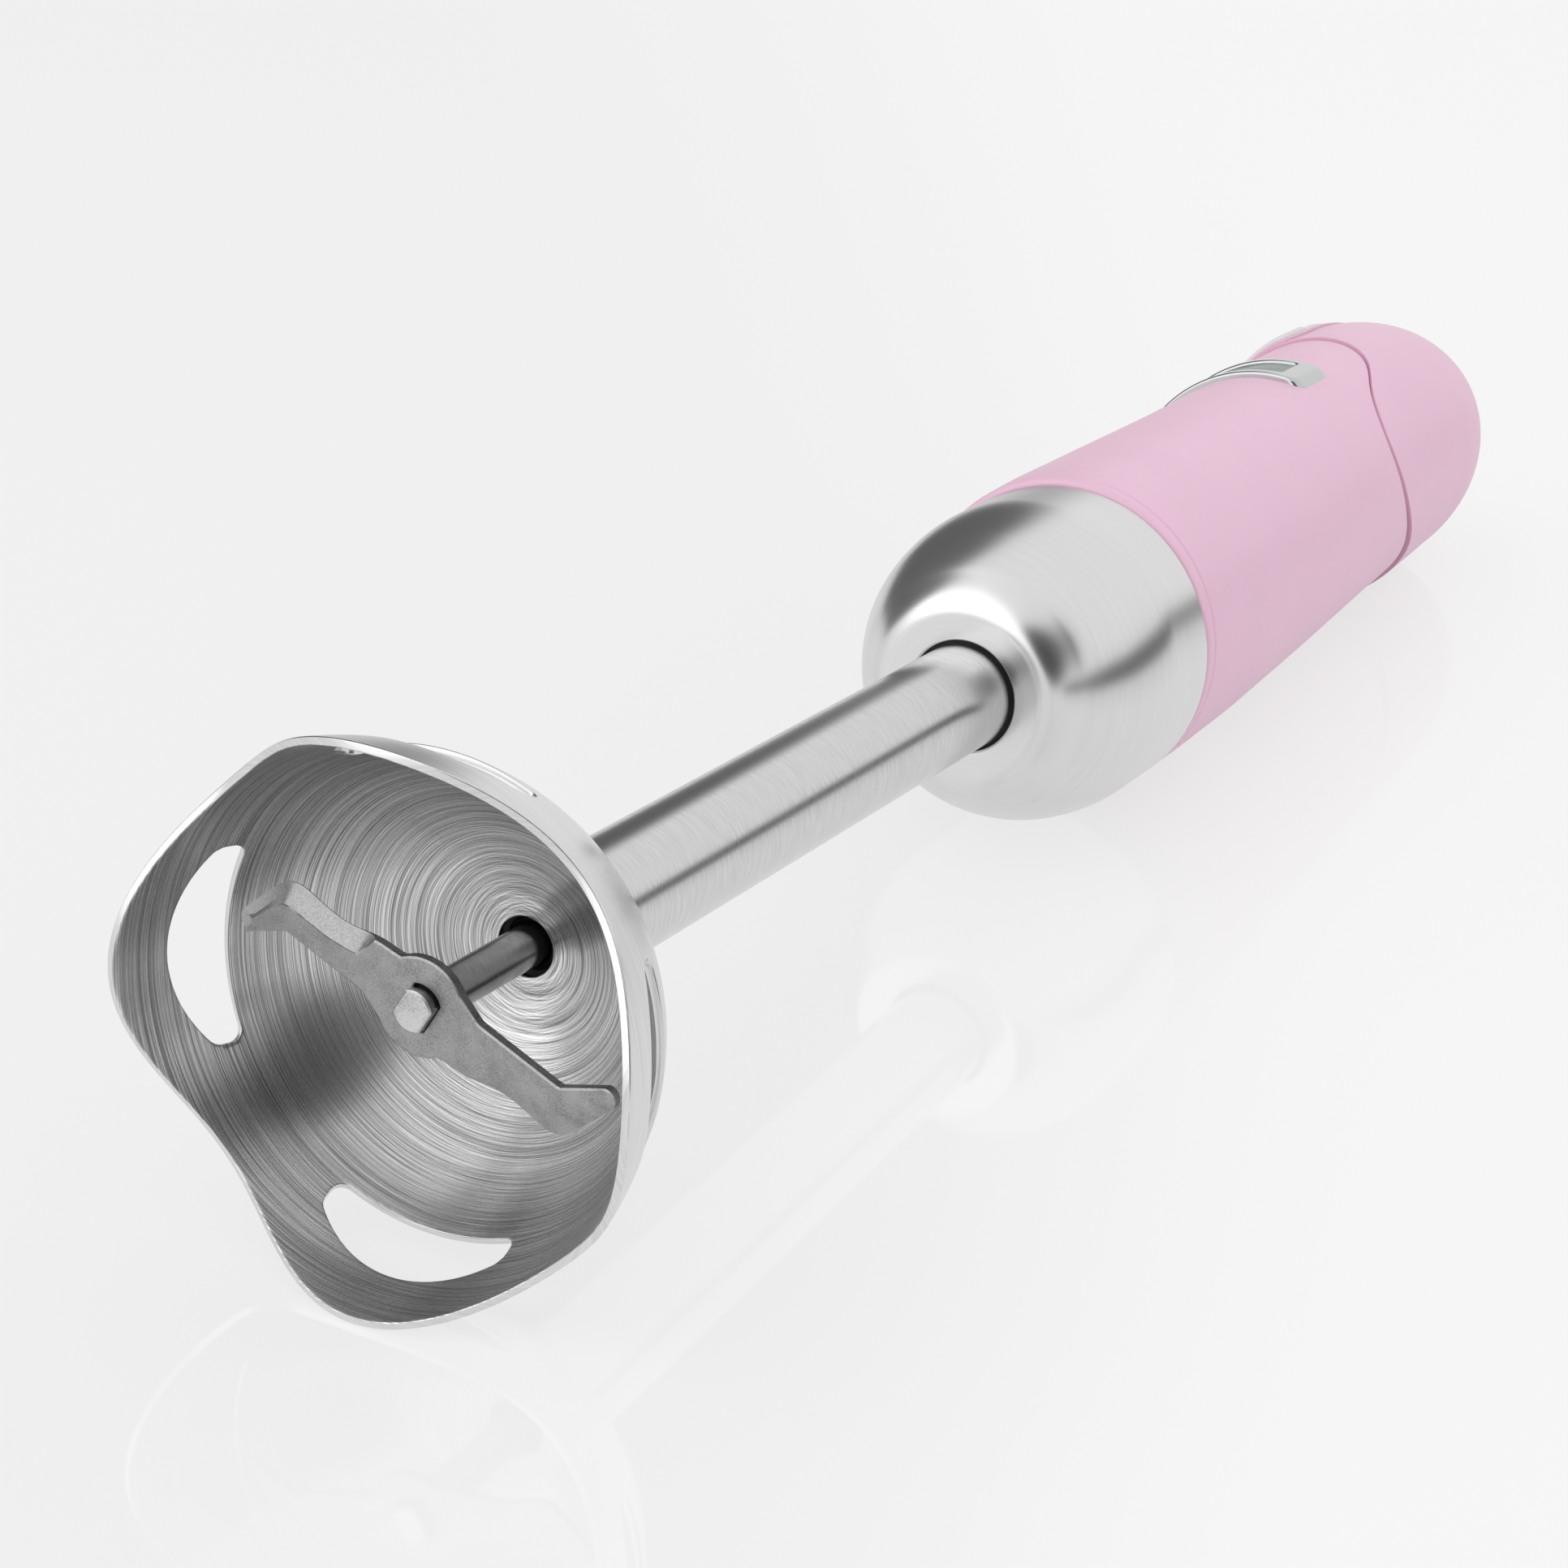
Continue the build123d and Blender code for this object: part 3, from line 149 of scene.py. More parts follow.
def wall_curve(stations: Sequence[tuple[float, float, float]], grows: float, steps: int) -> Loop:
    """Wall of a turned shell through stations of radius, height and steepness.

    Args:
        stations: Radius, height and degrees from the axis, in rising height.
        grows: 1 where the radius grows with height, -1 where it shrinks.
        steps: Spans between two stations.

    Returns:
        An array of radius and height.
    """
    rows = [np.array([[stations[0][0], stations[0][1]]])]
    t = np.linspace(0, 1, steps + 1)[1:, None]
    for (r0, z0, lean0), (r1, z1, lean1) in zip(stations, stations[1:]):
        a, b = np.array([r0, z0]), np.array([r1, z1])
        chord = np.linalg.norm(b - a)
        start = chord * np.array([grows * math.sin(math.radians(lean0)), math.cos(math.radians(lean0))])
        end = chord * np.array([grows * math.sin(math.radians(lean1)), math.cos(math.radians(lean1))])
        rows.append(
            (2 * t**3 - 3 * t**2 + 1) * a + (t**3 - 2 * t**2 + t) * start
            + (3 * t**2 - 2 * t**3) * b + (t**3 - t**2) * end
        )
    return np.vstack(rows)


def along(curve: Loop, shares: np.ndarray) -> Loop:
    """Points of a curve at shares of its length.

    Args:
        curve: Points of the curve.
        shares: Values from 0 to 1.

    Returns:
        One point for each share.
    """
    lengths = np.r_[0.0, np.cumsum(np.linalg.norm(np.diff(curve, axis=0), axis=1))]
    places = np.asarray(shares) * lengths[-1]
    return np.stack([np.interp(places, lengths, curve[:, k]) for k in range(curve.shape[1])], axis=-1)


def rounded(corners: Sequence[tuple[float, float, float]], steps: int = 8) -> Loop:
    """Closed outline whose corners are rounded.

    Args:
        corners: Two coordinates and a corner radius each, anticlockwise.
        steps: Spans in each rounded corner.

    Returns:
        The outline's points.
    """
    count = len(corners)
    points = []
    for i, (x, y, radius) in enumerate(corners):
        here = np.array([x, y])
        if radius <= 0:
            points.append(here)
            continue
        before = np.array(corners[i - 1][:2]) - here
        after = np.array(corners[(i + 1) % count][:2]) - here
        before /= np.linalg.norm(before)
        after /= np.linalg.norm(after)
        half = math.acos(float(np.clip(before @ after, -1, 1))) / 2
        centre = here + (before + after) / np.linalg.norm(before + after) * radius / math.sin(half)
        start = here + before * radius / math.tan(half) - centre
        end = here + after * radius / math.tan(half) - centre
        sweep = math.atan2(start[0] * end[1] - start[1] * end[0], float(start @ end))
        for angle in np.linspace(0, sweep, steps + 1):
            c, s = math.cos(angle), math.sin(angle)
            points.append(centre + np.array([c * start[0] - s * start[1], s * start[0] + c * start[1]]))
    return np.array(points)


def box_loop(half: float, low: float, high: float, corner: float, side: int = 40, end: int = 14) -> Loop:
    """Rounded rectangle across and height whose points match those of a smaller or larger one.

    Args:
        half: Half its width.
        low: Its lower level.
        high: Its upper level.
        corner: Corner radius.
        side: Spans along the lower and the upper side.
        end: Spans along the two ends.

    Returns:
        The outline's points, anticlockwise.
    """
    r = corner
    bends = rounded([(-half, low, r), (half, low, r), (half, high, r), (-half, high, r)]).reshape(4, -1, 2)
    rows = []
    for k, spans in enumerate((side, end, side, end)):
        share = np.linspace(0, 1, spans + 1)[1:-1, None]
        rows += [bends[k], bends[k][-1] * (1 - share) + bends[(k + 1) % 4][0] * share]
    return np.vstack(rows)


def circle(radius: float, height: float, count: int) -> Loop:
    """Ring of points round the long axis."""
    angle = np.linspace(0, 2 * math.pi, count, endpoint=False)
    return np.stack([radius * np.cos(angle), radius * np.sin(angle), np.full(count, height)], axis=1)


def turned(rows: Loop, degrees: float) -> Loop:
    """Upright points turned about the long axis."""
    c, s = math.cos(math.radians(degrees)), math.sin(math.radians(degrees))
    return np.column_stack([rows[:, 0] * c - rows[:, 1] * s, rows[:, 0] * s + rows[:, 1] * c, rows[:, 2]])


# ---------------------------------------------------------------- modelling by hand
def deselect() -> None:
    """Leaves nothing selected."""
    bpy.ops.object.select_all(action="DESELECT")


def pick(piece: bpy.types.Object) -> None:
    """Selects one piece alone and makes it active."""
    deselect()
    piece.select_set(True)
    bpy.context.view_layer.objects.active = piece


@contextmanager
def editing(piece: bpy.types.Object, mode: str = "VERT") -> Iterator[bmesh.types.BMesh]:
    """Opens a piece in edit mode with nothing selected.

    Args:
        piece: The piece to edit.
        mode: VERT, EDGE or FACE.

    Returns:
        The mesh while it is being edited.
    """
    pick(piece)
    bpy.ops.object.mode_set(mode="EDIT")
    bpy.ops.mesh.select_mode(type=mode)
    bpy.ops.mesh.select_all(action="DESELECT")
    try:
        yield bmesh.from_edit_mesh(piece.data)
    finally:
        bpy.ops.object.mode_set(mode="OBJECT")


def choose(piece: bpy.types.Object, kind: str, chosen: np.ndarray) -> None:
    """Marks elements as selected, in object mode.

    Args:
        piece: The piece.
        kind: vertices, edges or polygons.
        chosen: One truth value for each element.
    """
    for name in ("vertices", "edges", "polygons"):
        elements = getattr(piece.data, name)
        marks = chosen if name == kind else np.zeros(len(elements), bool)
        elements.foreach_set("select", np.asarray(marks, bool))


def corners(piece: bpy.types.Object) -> np.ndarray:
    """All vertex places of a piece, as rows."""
    rows = np.empty(len(piece.data.vertices) * 3)
    piece.data.vertices.foreach_get("co", rows)
    return rows.reshape(-1, 3)


def put(piece: bpy.types.Object, rows: np.ndarray) -> None:
    """Moves every vertex of a piece to a new place."""
    piece.data.vertices.foreach_set("co", np.asarray(rows, float).ravel())
    piece.data.update()


def apply_modifier(piece: bpy.types.Object, kind: str, **settings: object) -> None:
    """Adds a modifier with its settings and applies it.

    Args:
        piece: The piece it works on.
        kind: The modifier's type.
        settings: The modifier's properties.
    """
    pick(piece)
    modifier = piece.modifiers.new(kind.lower(), kind)
    for name, value in settings.items():
        setattr(modifier, name, value)
    bpy.ops.object.modifier_apply(modifier=modifier.name)


def drawn(name: str, loops: Sequence[Loop], fill: bool = True, joined: bool = False) -> bpy.types.Object:
    """Draws a shape ring by ring: a grid's rows are shaped to the rings and its sides joined.

    Args:
        name: Name of the piece.
        loops: Rings with the same number of points.
        fill: Closes the first and the last ring with a face.
        joined: Bridges the last ring to the first, for a piece with a hole through it.

    Returns:
        The piece, upright and in millimetres.
    """
    rings = np.array(loops)
    levels, count = rings.shape[0] - 1, rings.shape[1]

    def place(across: np.ndarray, level: np.ndarray) -> np.ndarray:
        """Place on the rings from the two shares."""
        return rings[np.rint(level * levels).astype(int), np.rint(across * count).astype(int) % count]

    piece = sheet(name, count, levels, place, closed=True)
    if joined or fill:
        with editing(piece, "EDGE") as mesh:
            for edge in mesh.edges:
                edge.select_set(edge.is_boundary)
            if joined:
                bpy.ops.mesh.bridge_edge_loops()
            else:
                bpy.ops.mesh.fill_holes(sides=0)
        tidy_normals(piece)
    return piece


def tidy_normals(piece: bpy.types.Object) -> None:
    """Merges doubles and turns every face outwards."""
    with editing(piece):
        bpy.ops.mesh.select_all(action="SELECT")
        bpy.ops.mesh.remove_doubles(threshold=DOUBLES)
        bpy.ops.mesh.normals_make_consistent(inside=False)


def spun(name: str, outline: Loop, steps: int = 192, centre: float = 0.0) -> bpy.types.Object:
    """Spins a closed outline once round the long axis.

    Args:
        name: Name of the piece.
        outline: Radius and height of each corner, closed.
        steps: Steps in the spin.
        centre: How far in front of the long axis the spin's axis lies.

    Returns:
        The piece, upright and in millimetres.
    """
    deselect()
    bpy.ops.mesh.primitive_circle_add(vertices=len(outline), radius=1)
    piece = bpy.context.active_object
    piece.name = piece.data.name = name
    put(piece, np.stack([outline[:, 0] + centre, np.zeros(len(outline)), outline[:, 1]], axis=1))
    with editing(piece):
        bpy.ops.mesh.select_all(action="SELECT")
        bpy.ops.mesh.spin(
            steps=steps, angle=2 * math.pi, center=(centre, 0, 0), axis=(0, 0, 1), use_auto_merge=False
        )
    tidy_normals(piece)
    return piece


def finish_piece(piece: bpy.types.Object, lie: Lie, smooth: float = 30.0, weighted: bool = True) -> None:
    """Lays an upright piece down in the row frame and smooths its shading.

    Args:
        piece: The piece, upright and in millimetres.
        lie: How the blender lies.
        smooth: Edges sharper than this many degrees stay sharp.
        weighted: Keeps broad faces flat beside small bevels.
    """
    pick(piece)
    piece.matrix_world = lie.matrix
    bpy.ops.object.transform_apply(location=True, rotation=True, scale=True)
    bpy.ops.object.shade_smooth_by_angle(angle=math.radians(smooth))
    if weighted:
        apply_modifier(piece, "WEIGHTED_NORMAL", keep_sharp=True, weight=50)


# ---------------------------------------------------------------- round shells with windows
@dataclass(frozen=True)
class RoundForm:
    """Surface whose every level section is a circle, as a table of height, radius and centre."""

    heights: np.ndarray
    radii: np.ndarray
    centres: np.ndarray

    def radius(self, height: np.ndarray) -> np.ndarray:
        """Radius at a height."""
        return np.interp(height, self.heights, self.radii)

    def centre(self, height: np.ndarray) -> np.ndarray:
        """How far in front of the long axis the section's middle lies."""
        return np.interp(height, self.heights, self.centres)

    def ring(self, angle: np.ndarray, height: np.ndarray, out: float = 0.0) -> np.ndarray:
        """Points at angles and heights, moved outwards."""
        reach = self.radius(height) + out
        return np.stack([self.centre(height) + reach * np.cos(angle), reach * np.sin(angle), height], axis=-1)

    def front(self, across: np.ndarray, height: np.ndarray, out: float = 0.0) -> np.ndarray:
        """Points on the front half, given their place across and their height."""
        reach = self.radius(height) + out
        x = self.centre(height) + np.sqrt(np.maximum(reach**2 - across**2, 0.0))
        return np.stack([x, across, height], axis=-1)


@dataclass(frozen=True)
class Window:
    """Closed outline in place across and height, which faces a direction about the long axis."""

    outline: Loop
    facing: float = 0.0

    def contains(self, flat: np.ndarray) -> np.ndarray:
        """Tells which flat points lie inside the outline."""
        start = self.outline
        end = np.roll(start, -1, axis=0)
        y = flat[:, 1, None]
        spans = (start[:, 1] > y) != (end[:, 1] > y)
        rise = np.where(end[:, 1] == start[:, 1], 1.0, end[:, 1] - start[:, 1])
        x = start[:, 0] + (y - start[:, 1]) / rise * (end[:, 0] - start[:, 0])
        return (spans & (flat[:, 0, None] < x)).sum(axis=1) % 2 == 1

    def place_of(self, flat: np.ndarray) -> np.ndarray:
        """Length along the outline of its nearest place to each flat point."""
        start = self.outline
        span = np.roll(start, -1, axis=0) - start
        size = np.maximum(np.linalg.norm(span, axis=1), 1e-9)
        lengths = np.r_[0.0, np.cumsum(size)][:-1]
        share = np.clip(((flat[:, None] - start) * span).sum(axis=2) / size**2, 0, 1)
        gap = np.linalg.norm(start + share[..., None] * span - flat[:, None], axis=2)
        best = gap.argmin(axis=1)
        rows = np.arange(len(flat))
        return lengths[best] + share[rows, best] * size[best]

    def at(self, places: np.ndarray) -> np.ndarray:
        """Points of the outline at lengths along it."""
        closed = np.vstack([self.outline, self.outline[:1]])
        lengths = np.r_[0.0, np.cumsum(np.linalg.norm(np.diff(closed, axis=0), axis=1))]
        wrapped = np.mod(places, lengths[-1])
        return np.stack([np.interp(wrapped, lengths, closed[:, k]) for k in range(2)], axis=-1)

    @property
    def girth(self) -> float:
        """Length all round."""
        closed = np.vstack([self.outline, self.outline[:1]])
        return float(np.linalg.norm(np.diff(closed, axis=0), axis=1).sum())


def flattened_view(rows: np.ndarray, facing: float) -> tuple[np.ndarray, np.ndarray]:
    """Looks at points along a direction about the long axis.

    Args:
        rows: Upright points.
        facing: The direction, in degrees from the front.

    Returns:
        Place across and height, and how far each point lies towards that direction.
    """
    c, s = math.cos(math.radians(facing)), math.sin(math.radians(facing))
    depth = rows[:, 0] * c + rows[:, 1] * s
    across = -rows[:, 0] * s + rows[:, 1] * c
    return np.stack([across, rows[:, 2]], axis=1), depth


def face_centres(piece: bpy.types.Object) -> np.ndarray:
    """Middle of every face."""
    rows = np.empty(len(piece.data.polygons) * 3)
    piece.data.polygons.foreach_get("center", rows)
    return rows.reshape(-1, 3)


def face_normals(piece: bpy.types.Object) -> np.ndarray:
    """Normal of every face."""
    rows = np.empty(len(piece.data.polygons) * 3)
    piece.data.polygons.foreach_get("normal", rows)
    return rows.reshape(-1, 3)


def border_loops(piece: bpy.types.Object) -> list[list[int]]:
    """Open borders of a sheet, each as vertex numbers in order."""
    with editing(piece) as mesh:
        follow: dict[int, list[int]] = {}
        for edge in mesh.edges:
            if len(edge.link_faces) == 1:
                a, b = (vertex.index for vertex in edge.verts)
                follow.setdefault(a, []).append(b)
                follow.setdefault(b, []).append(a)
    loops = []
    left = set(follow)
    while left:
        start = min(left)
        loop = [start]
        left.discard(start)
        while True:
            ahead = [v for v in follow[loop[-1]] if v in left]
            if not ahead:
                break
            loop.append(ahead[0])
            left.discard(ahead[0])
        loops.append(loop)
    return loops


def cut(
    piece: bpy.types.Object, form: RoundForm, window: Window, out: float = 0.0, keep: bool = False
) -> None:
    """Cuts a window in a sheet, or trims the sheet to it, with an even clean border.

    The faces inside go, the border they leave is moved onto the outline, and the rings of
    vertices beside it are eased so that the sheet stays smooth.

    Args:
        piece: A sheet on the form.
        form: The form the sheet lies on.
        window: The outline.
        out: How far outside the form the sheet lies.
        keep: Keeps the inside and removes the outside.
    """
    flat, depth = flattened_view(face_centres(piece), window.facing)
    inside = window.contains(flat) & (depth > 0)
    choose(piece, "polygons", ~inside if keep else inside)
    pick(piece)
    bpy.ops.object.mode_set(mode="EDIT")
    bpy.ops.mesh.select_mode(type="FACE")
    bpy.ops.mesh.delete(type="FACE")
    bpy.ops.object.mode_set(mode="OBJECT")
    rows = corners(piece)
    flat, depth = flattened_view(rows, window.facing)
    loop = min(border_loops(piece), key=lambda ids: border_gap(window, flat[ids], depth[ids]))
    places = window.place_of(flat[loop])
    steps = np.diff(np.r_[places, places[0]])
    steps = (steps + window.girth / 2) % window.girth - window.girth / 2
    turn = 1.0 if steps.sum() > 0 else -1.0
    unrolled = places[0] + np.r_[0.0, np.cumsum(steps[:-1])]
    for _ in range(EVEN_PASSES):
        after = np.r_[unrolled[1:], unrolled[0] + turn * window.girth]
        before = np.r_[unrolled[-1] - turn * window.girth, unrolled[:-1]]
        unrolled = (before + 2 * unrolled + after) / 4
    flat[loop] = window.at(unrolled)
    near = ease(piece, flat, loop)
    place_back(piece, rows, flat, near, form, window.facing, out)


def border_gap(window: Window, flat: np.ndarray, depth: np.ndarray) -> float:
    """Mean distance of a border from a window's outline, or a large value behind the piece."""
    if depth.mean() < 0:
        return BEHIND
    return float(np.linalg.norm(window.at(window.place_of(flat)) - flat, axis=1).mean())


def ease(piece: bpy.types.Object, flat: np.ndarray, fixed: Sequence[int]) -> np.ndarray:
    """Evens out the vertices beside a border.

    Args:
        piece: The sheet.
        flat: Flat places, changed in place.
        fixed: Vertices of the border, which stay.

    Returns:
        The vertices that moved, with the border.
    """
    pairs = np.empty(len(piece.data.edges) * 2, int)
    piece.data.edges.foreach_get("vertices", pairs)
    pairs = pairs.reshape(-1, 2)
    level = np.full(len(flat), EASED_RINGS + 1)
    level[list(fixed)] = 0
    for ring in range(1, EASED_RINGS + 1):
        for a, b in (pairs.T, pairs.T[::-1]):
            reached = b[(level[a] == ring - 1) & (level[b] > ring)]
            level[reached] = ring
    outer = {v for loop in border_loops(piece) for v in loop} - set(fixed)
    moving = (level > 0) & (level <= EASED_RINGS)
    moving[list(outer)] = False
    touching = moving[pairs].any(axis=1)
    used = pairs[touching]
    for _ in range(EASE_PASSES):
        total = np.zeros_like(flat)
        count = np.zeros(len(flat))
        for a, b in (used.T, used.T[::-1]):
            np.add.at(total, a, flat[b])
            np.add.at(count, a, 1)
        flat[moving] = 0.5 * flat[moving] + 0.5 * total[moving] / count[moving, None]
    return np.flatnonzero(moving | (level == 0))


def place_back(
    piece: bpy.types.Object, rows: np.ndarray, flat: np.ndarray, moved: np.ndarray,
    form: RoundForm, facing: float, out: float,
) -> None:
    """Puts moved flat points back on the form.

    Args:
        piece: The sheet.
        rows: Its upright vertices, changed in place.
        flat: Flat places of all vertices.
        moved: Which of them moved.
        form: The form.
        facing: Direction the flat view looks at, in degrees.
        out: How far outside the form the sheet lies.
    """
    rows[moved] = turned(form.front(flat[moved, 0], flat[moved, 1], out), facing)
    put(piece, rows)


def sheet(
    name: str, columns: int, levels: int, place: Callable[[np.ndarray, np.ndarray], np.ndarray], closed: bool
) -> bpy.types.Object:
    """Shapes a grid into a sheet.

    Args:
        name: Name of the piece.
        columns: Cells across.
        levels: Cells along.
        place: Gives the place of a point from its share across and its share along.
        closed: Joins the two sides of the sheet.

    Returns:
        The sheet, upright and in millimetres.
    """
    deselect()
    bpy.ops.mesh.primitive_grid_add(x_subdivisions=columns, y_subdivisions=levels, size=1)
    piece = bpy.context.active_object
    piece.name = piece.data.name = name
    rows = corners(piece) + 0.5
    put(piece, place(rows[:, 0], rows[:, 1]))
    if closed:
        with editing(piece):
            bpy.ops.mesh.select_all(action="SELECT")
            bpy.ops.mesh.remove_doubles(threshold=DOUBLES)
    return piece


def face_out(piece: bpy.types.Object, probe: Vector) -> None:
    """Turns a sheet's faces away from a point behind it.

    Args:
        piece: The sheet.
        probe: A point behind every face.
    """
    first = piece.data.polygons[0]
    if first.normal.dot(first.center - probe) < 0:
        with editing(piece):
            bpy.ops.mesh.select_all(action="SELECT")
            bpy.ops.mesh.flip_normals()


def thicken(
    piece: bpy.types.Object, wall: float, edge: float, segments: int = 3, angle: float = 40.0
) -> None:
    """Gives a sheet its wall, inwards, and rounds its edges as far as its cells leave room.

    Args:
        piece: The sheet.
        wall: Thickness in millimetres.
        edge: Most that the rounding takes. Short cells beside an edge lessen it for the whole
            piece, down to none.
        segments: Steps in the rounding.
        angle: Edges sharper than this many degrees are rounded.
    """
    apply_modifier(piece, "SOLIDIFY", thickness=wall, offset=-1.0, use_even_offset=True, use_rim=True)
    round_edges(piece, edge, segments, angle)


def round_edges(piece: bpy.types.Object, edge: float, segments: int = 2, angle: float = 40.0) -> None:
    """Rounds the sharp edges of a piece, less where its cells are short."""
    apply_modifier(
        piece, "BEVEL", width=edge, segments=segments, limit_method="ANGLE",
        angle_limit=math.radians(angle), use_clamp_overlap=True, harden_normals=False,
    )


# ---------------------------------------------------------------- finishes
def srgb(code: str) -> Colour:
    """Linear colour of an sRGB hex value such as #A0A0A0."""
    values = [int(code[i:i + 2], 16) / 255 for i in (1, 3, 5)]
    linear = [v / 12.92 if v <= 0.04045 else ((v + 0.055) / 1.055) ** 2.4 for v in values]
    return linear[0], linear[1], linear[2], 1.0


def fill_in(tree: bpy.types.NodeTree, node: bpy.types.Node, inputs: dict[str | int, object]) -> None:
    """Links each socket to its input of a node, and sets each value."""
    for name, source in inputs.items():
        if isinstance(source, bpy.types.NodeSocket):
            tree.links.new(source, node.inputs[name])
        else:
            node.inputs[name].default_value = source


def add_node(
    tree: bpy.types.NodeTree, kind: str, inputs: dict[str | int, object] | None = None, **settings: object
) -> bpy.types.Node:
    """Adds one node with its settings and inputs.

    Args:
        tree: The material's or world's tree.
        kind: The node's type.
        inputs: For each input, a socket to link or a value to set.
        settings: The node's own properties.

    Returns:
        The new node.
    """
    node = tree.nodes.new(kind)
    for name, value in settings.items():
        setattr(node, name, value)
    fill_in(tree, node, inputs or {})
    return node


def maths(tree: bpy.types.NodeTree, operation: str, *values: object) -> bpy.types.NodeSocket:
    """Result of one operation on numbers or sockets."""
    return add_node(tree, "ShaderNodeMath", dict(enumerate(values)), operation=operation).outputs[0]


def empty_tree(owner: bpy.types.Material | bpy.types.World) -> bpy.types.NodeTree:
    """Tree of a material or world, with no nodes in it."""
    owner.use_nodes = True
    owner.node_tree.nodes.clear()
    return owner.node_tree


def upright_place(tree: bpy.types.NodeTree, lie: Lie) -> bpy.types.NodeSocket:
    """Upright place on the blender, in millimetres."""
    back = lie.turn.transposed()
    here = add_node(tree, "ShaderNodeTexCoord")
    upright = add_node(
        tree, "ShaderNodeMapping",
        {"Vector": here.outputs["Object"], "Location": -(back @ lie.origin) / MILLI,
         "Rotation": back.to_euler(), "Scale": (1 / MILLI,) * 3},
        vector_type="POINT",
    )
    return upright.outputs[0]


@dataclass(frozen=True)
class Surface:
    """A material while it is made: its tree, its shader and the upright place on the blender."""

    tree: bpy.types.NodeTree
    shader: bpy.types.Node
    place: bpy.types.NodeSocket
    lie: Lie

    def node(
        self, kind: str, inputs: dict[str | int, object] | None = None, **settings: object
    ) -> bpy.types.Node:
        """Adds one node to the tree."""
        return add_node(self.tree, kind, inputs, **settings)

    def wear(self, inputs: dict[str | int, object]) -> None:
        """Links or sets the shader's inputs."""
        fill_in(self.tree, self.shader, inputs)

    def maths(self, operation: str, *values: object) -> bpy.types.NodeSocket:
        """Result of one operation on numbers."""
        return maths(self.tree, operation, *values)

    def vector(self, operation: str, *values: object) -> bpy.types.NodeSocket:
        """Result of one operation on vectors: a number for a length or a dot product."""
        found = self.node("ShaderNodeVectorMath", dict(enumerate(values)), operation=operation)
        return found.outputs["Value" if operation in ("LENGTH", "DOT_PRODUCT") else "Vector"]

    def noise(
        self, vector: bpy.types.NodeSocket, scale: float, detail: float, roughness: float = 0.5
    ) -> bpy.types.NodeSocket:
        """Soft noise between 0 and 1."""
        found = self.node(
            "ShaderNodeTexNoise", {"Vector": vector, "Scale": scale, "Detail": detail, "Roughness": roughness}
        )
        return found.outputs["Fac"]

    def remap(
        self, value: bpy.types.NodeSocket, low: float, high: float, start: float = 0.0, end: float = 1.0
    ) -> bpy.types.NodeSocket:
        """Value that runs from low to high while the given one runs from start to end."""
        found = self.node(
            "ShaderNodeMapRange",
            {"Value": value, "From Min": start, "From Max": end, "To Min": low, "To Max": high},
        )
        return found.outputs[0]

    def ramp(
        self, value: bpy.types.NodeSocket, low: Colour, high: Colour, start: float = 0.0, end: float = 1.0
    ) -> bpy.types.NodeSocket:
        """Colour that runs from low to high while the given value runs from start to end."""
        found = self.node("ShaderNodeValToRGB", {0: value})
        for element, position, colour in zip(found.color_ramp.elements, (start, end), (low, high)):
            element.position = position
            element.color = colour
        return found.outputs[0]

    def relief(self, height: bpy.types.NodeSocket, strength: float, depth: float) -> None:
        """Gives the shader a fine relief, as deep as given in millimetres."""
        bump = self.node(
            "ShaderNodeBump", {"Height": height, "Strength": strength, "Distance": depth * MILLI}
        )
        self.wear({"Normal": bump.outputs[0]})

    def brush(self, lines: bpy.types.NodeSocket, spread: float) -> None:
        """Spreads the gloss across lines that follow an upright direction."""
        laid = self.node(
            "ShaderNodeMapping", {"Vector": lines, "Rotation": self.lie.turn.to_euler()}, vector_type="VECTOR"
        )
        world = self.node(
            "ShaderNodeVectorTransform", {"Vector": laid.outputs[0]},
            vector_type="VECTOR", convert_from="OBJECT", convert_to="WORLD",
        )
        self.wear({"Anisotropic": spread, "Anisotropic Rotation": 0.25, "Tangent": world.outputs[0]})


@dataclass(frozen=True)
class Finish:
    """A surface as its maker would name it."""

    name: str
    colour: str
    roughness: float

    def build(self, lie: Lie) -> bpy.types.Material:
        """Makes the material once and gives it again when asked again."""
        known = bpy.data.materials.get(self.name)
        if known:
            return known
        material = bpy.data.materials.new(self.name)
        tree = empty_tree(material)
        shader = add_node(tree, "ShaderNodeBsdfPrincipled")
        add_node(tree, "ShaderNodeOutputMaterial", {"Surface": shader.outputs[0]})
        self.dress(Surface(tree, shader, upright_place(tree, lie), lie))
        return material

    def darkened(self, share: float) -> Colour:
        """The finish's colour, darker by a share."""
        red, green, blue, _ = srgb(self.colour)
        return red * (1 - share), green * (1 - share), blue * (1 - share), 1.0

    def dress(self, surface: Surface) -> None:
        """Sets the shader and its patterns."""
        raise NotImplementedError


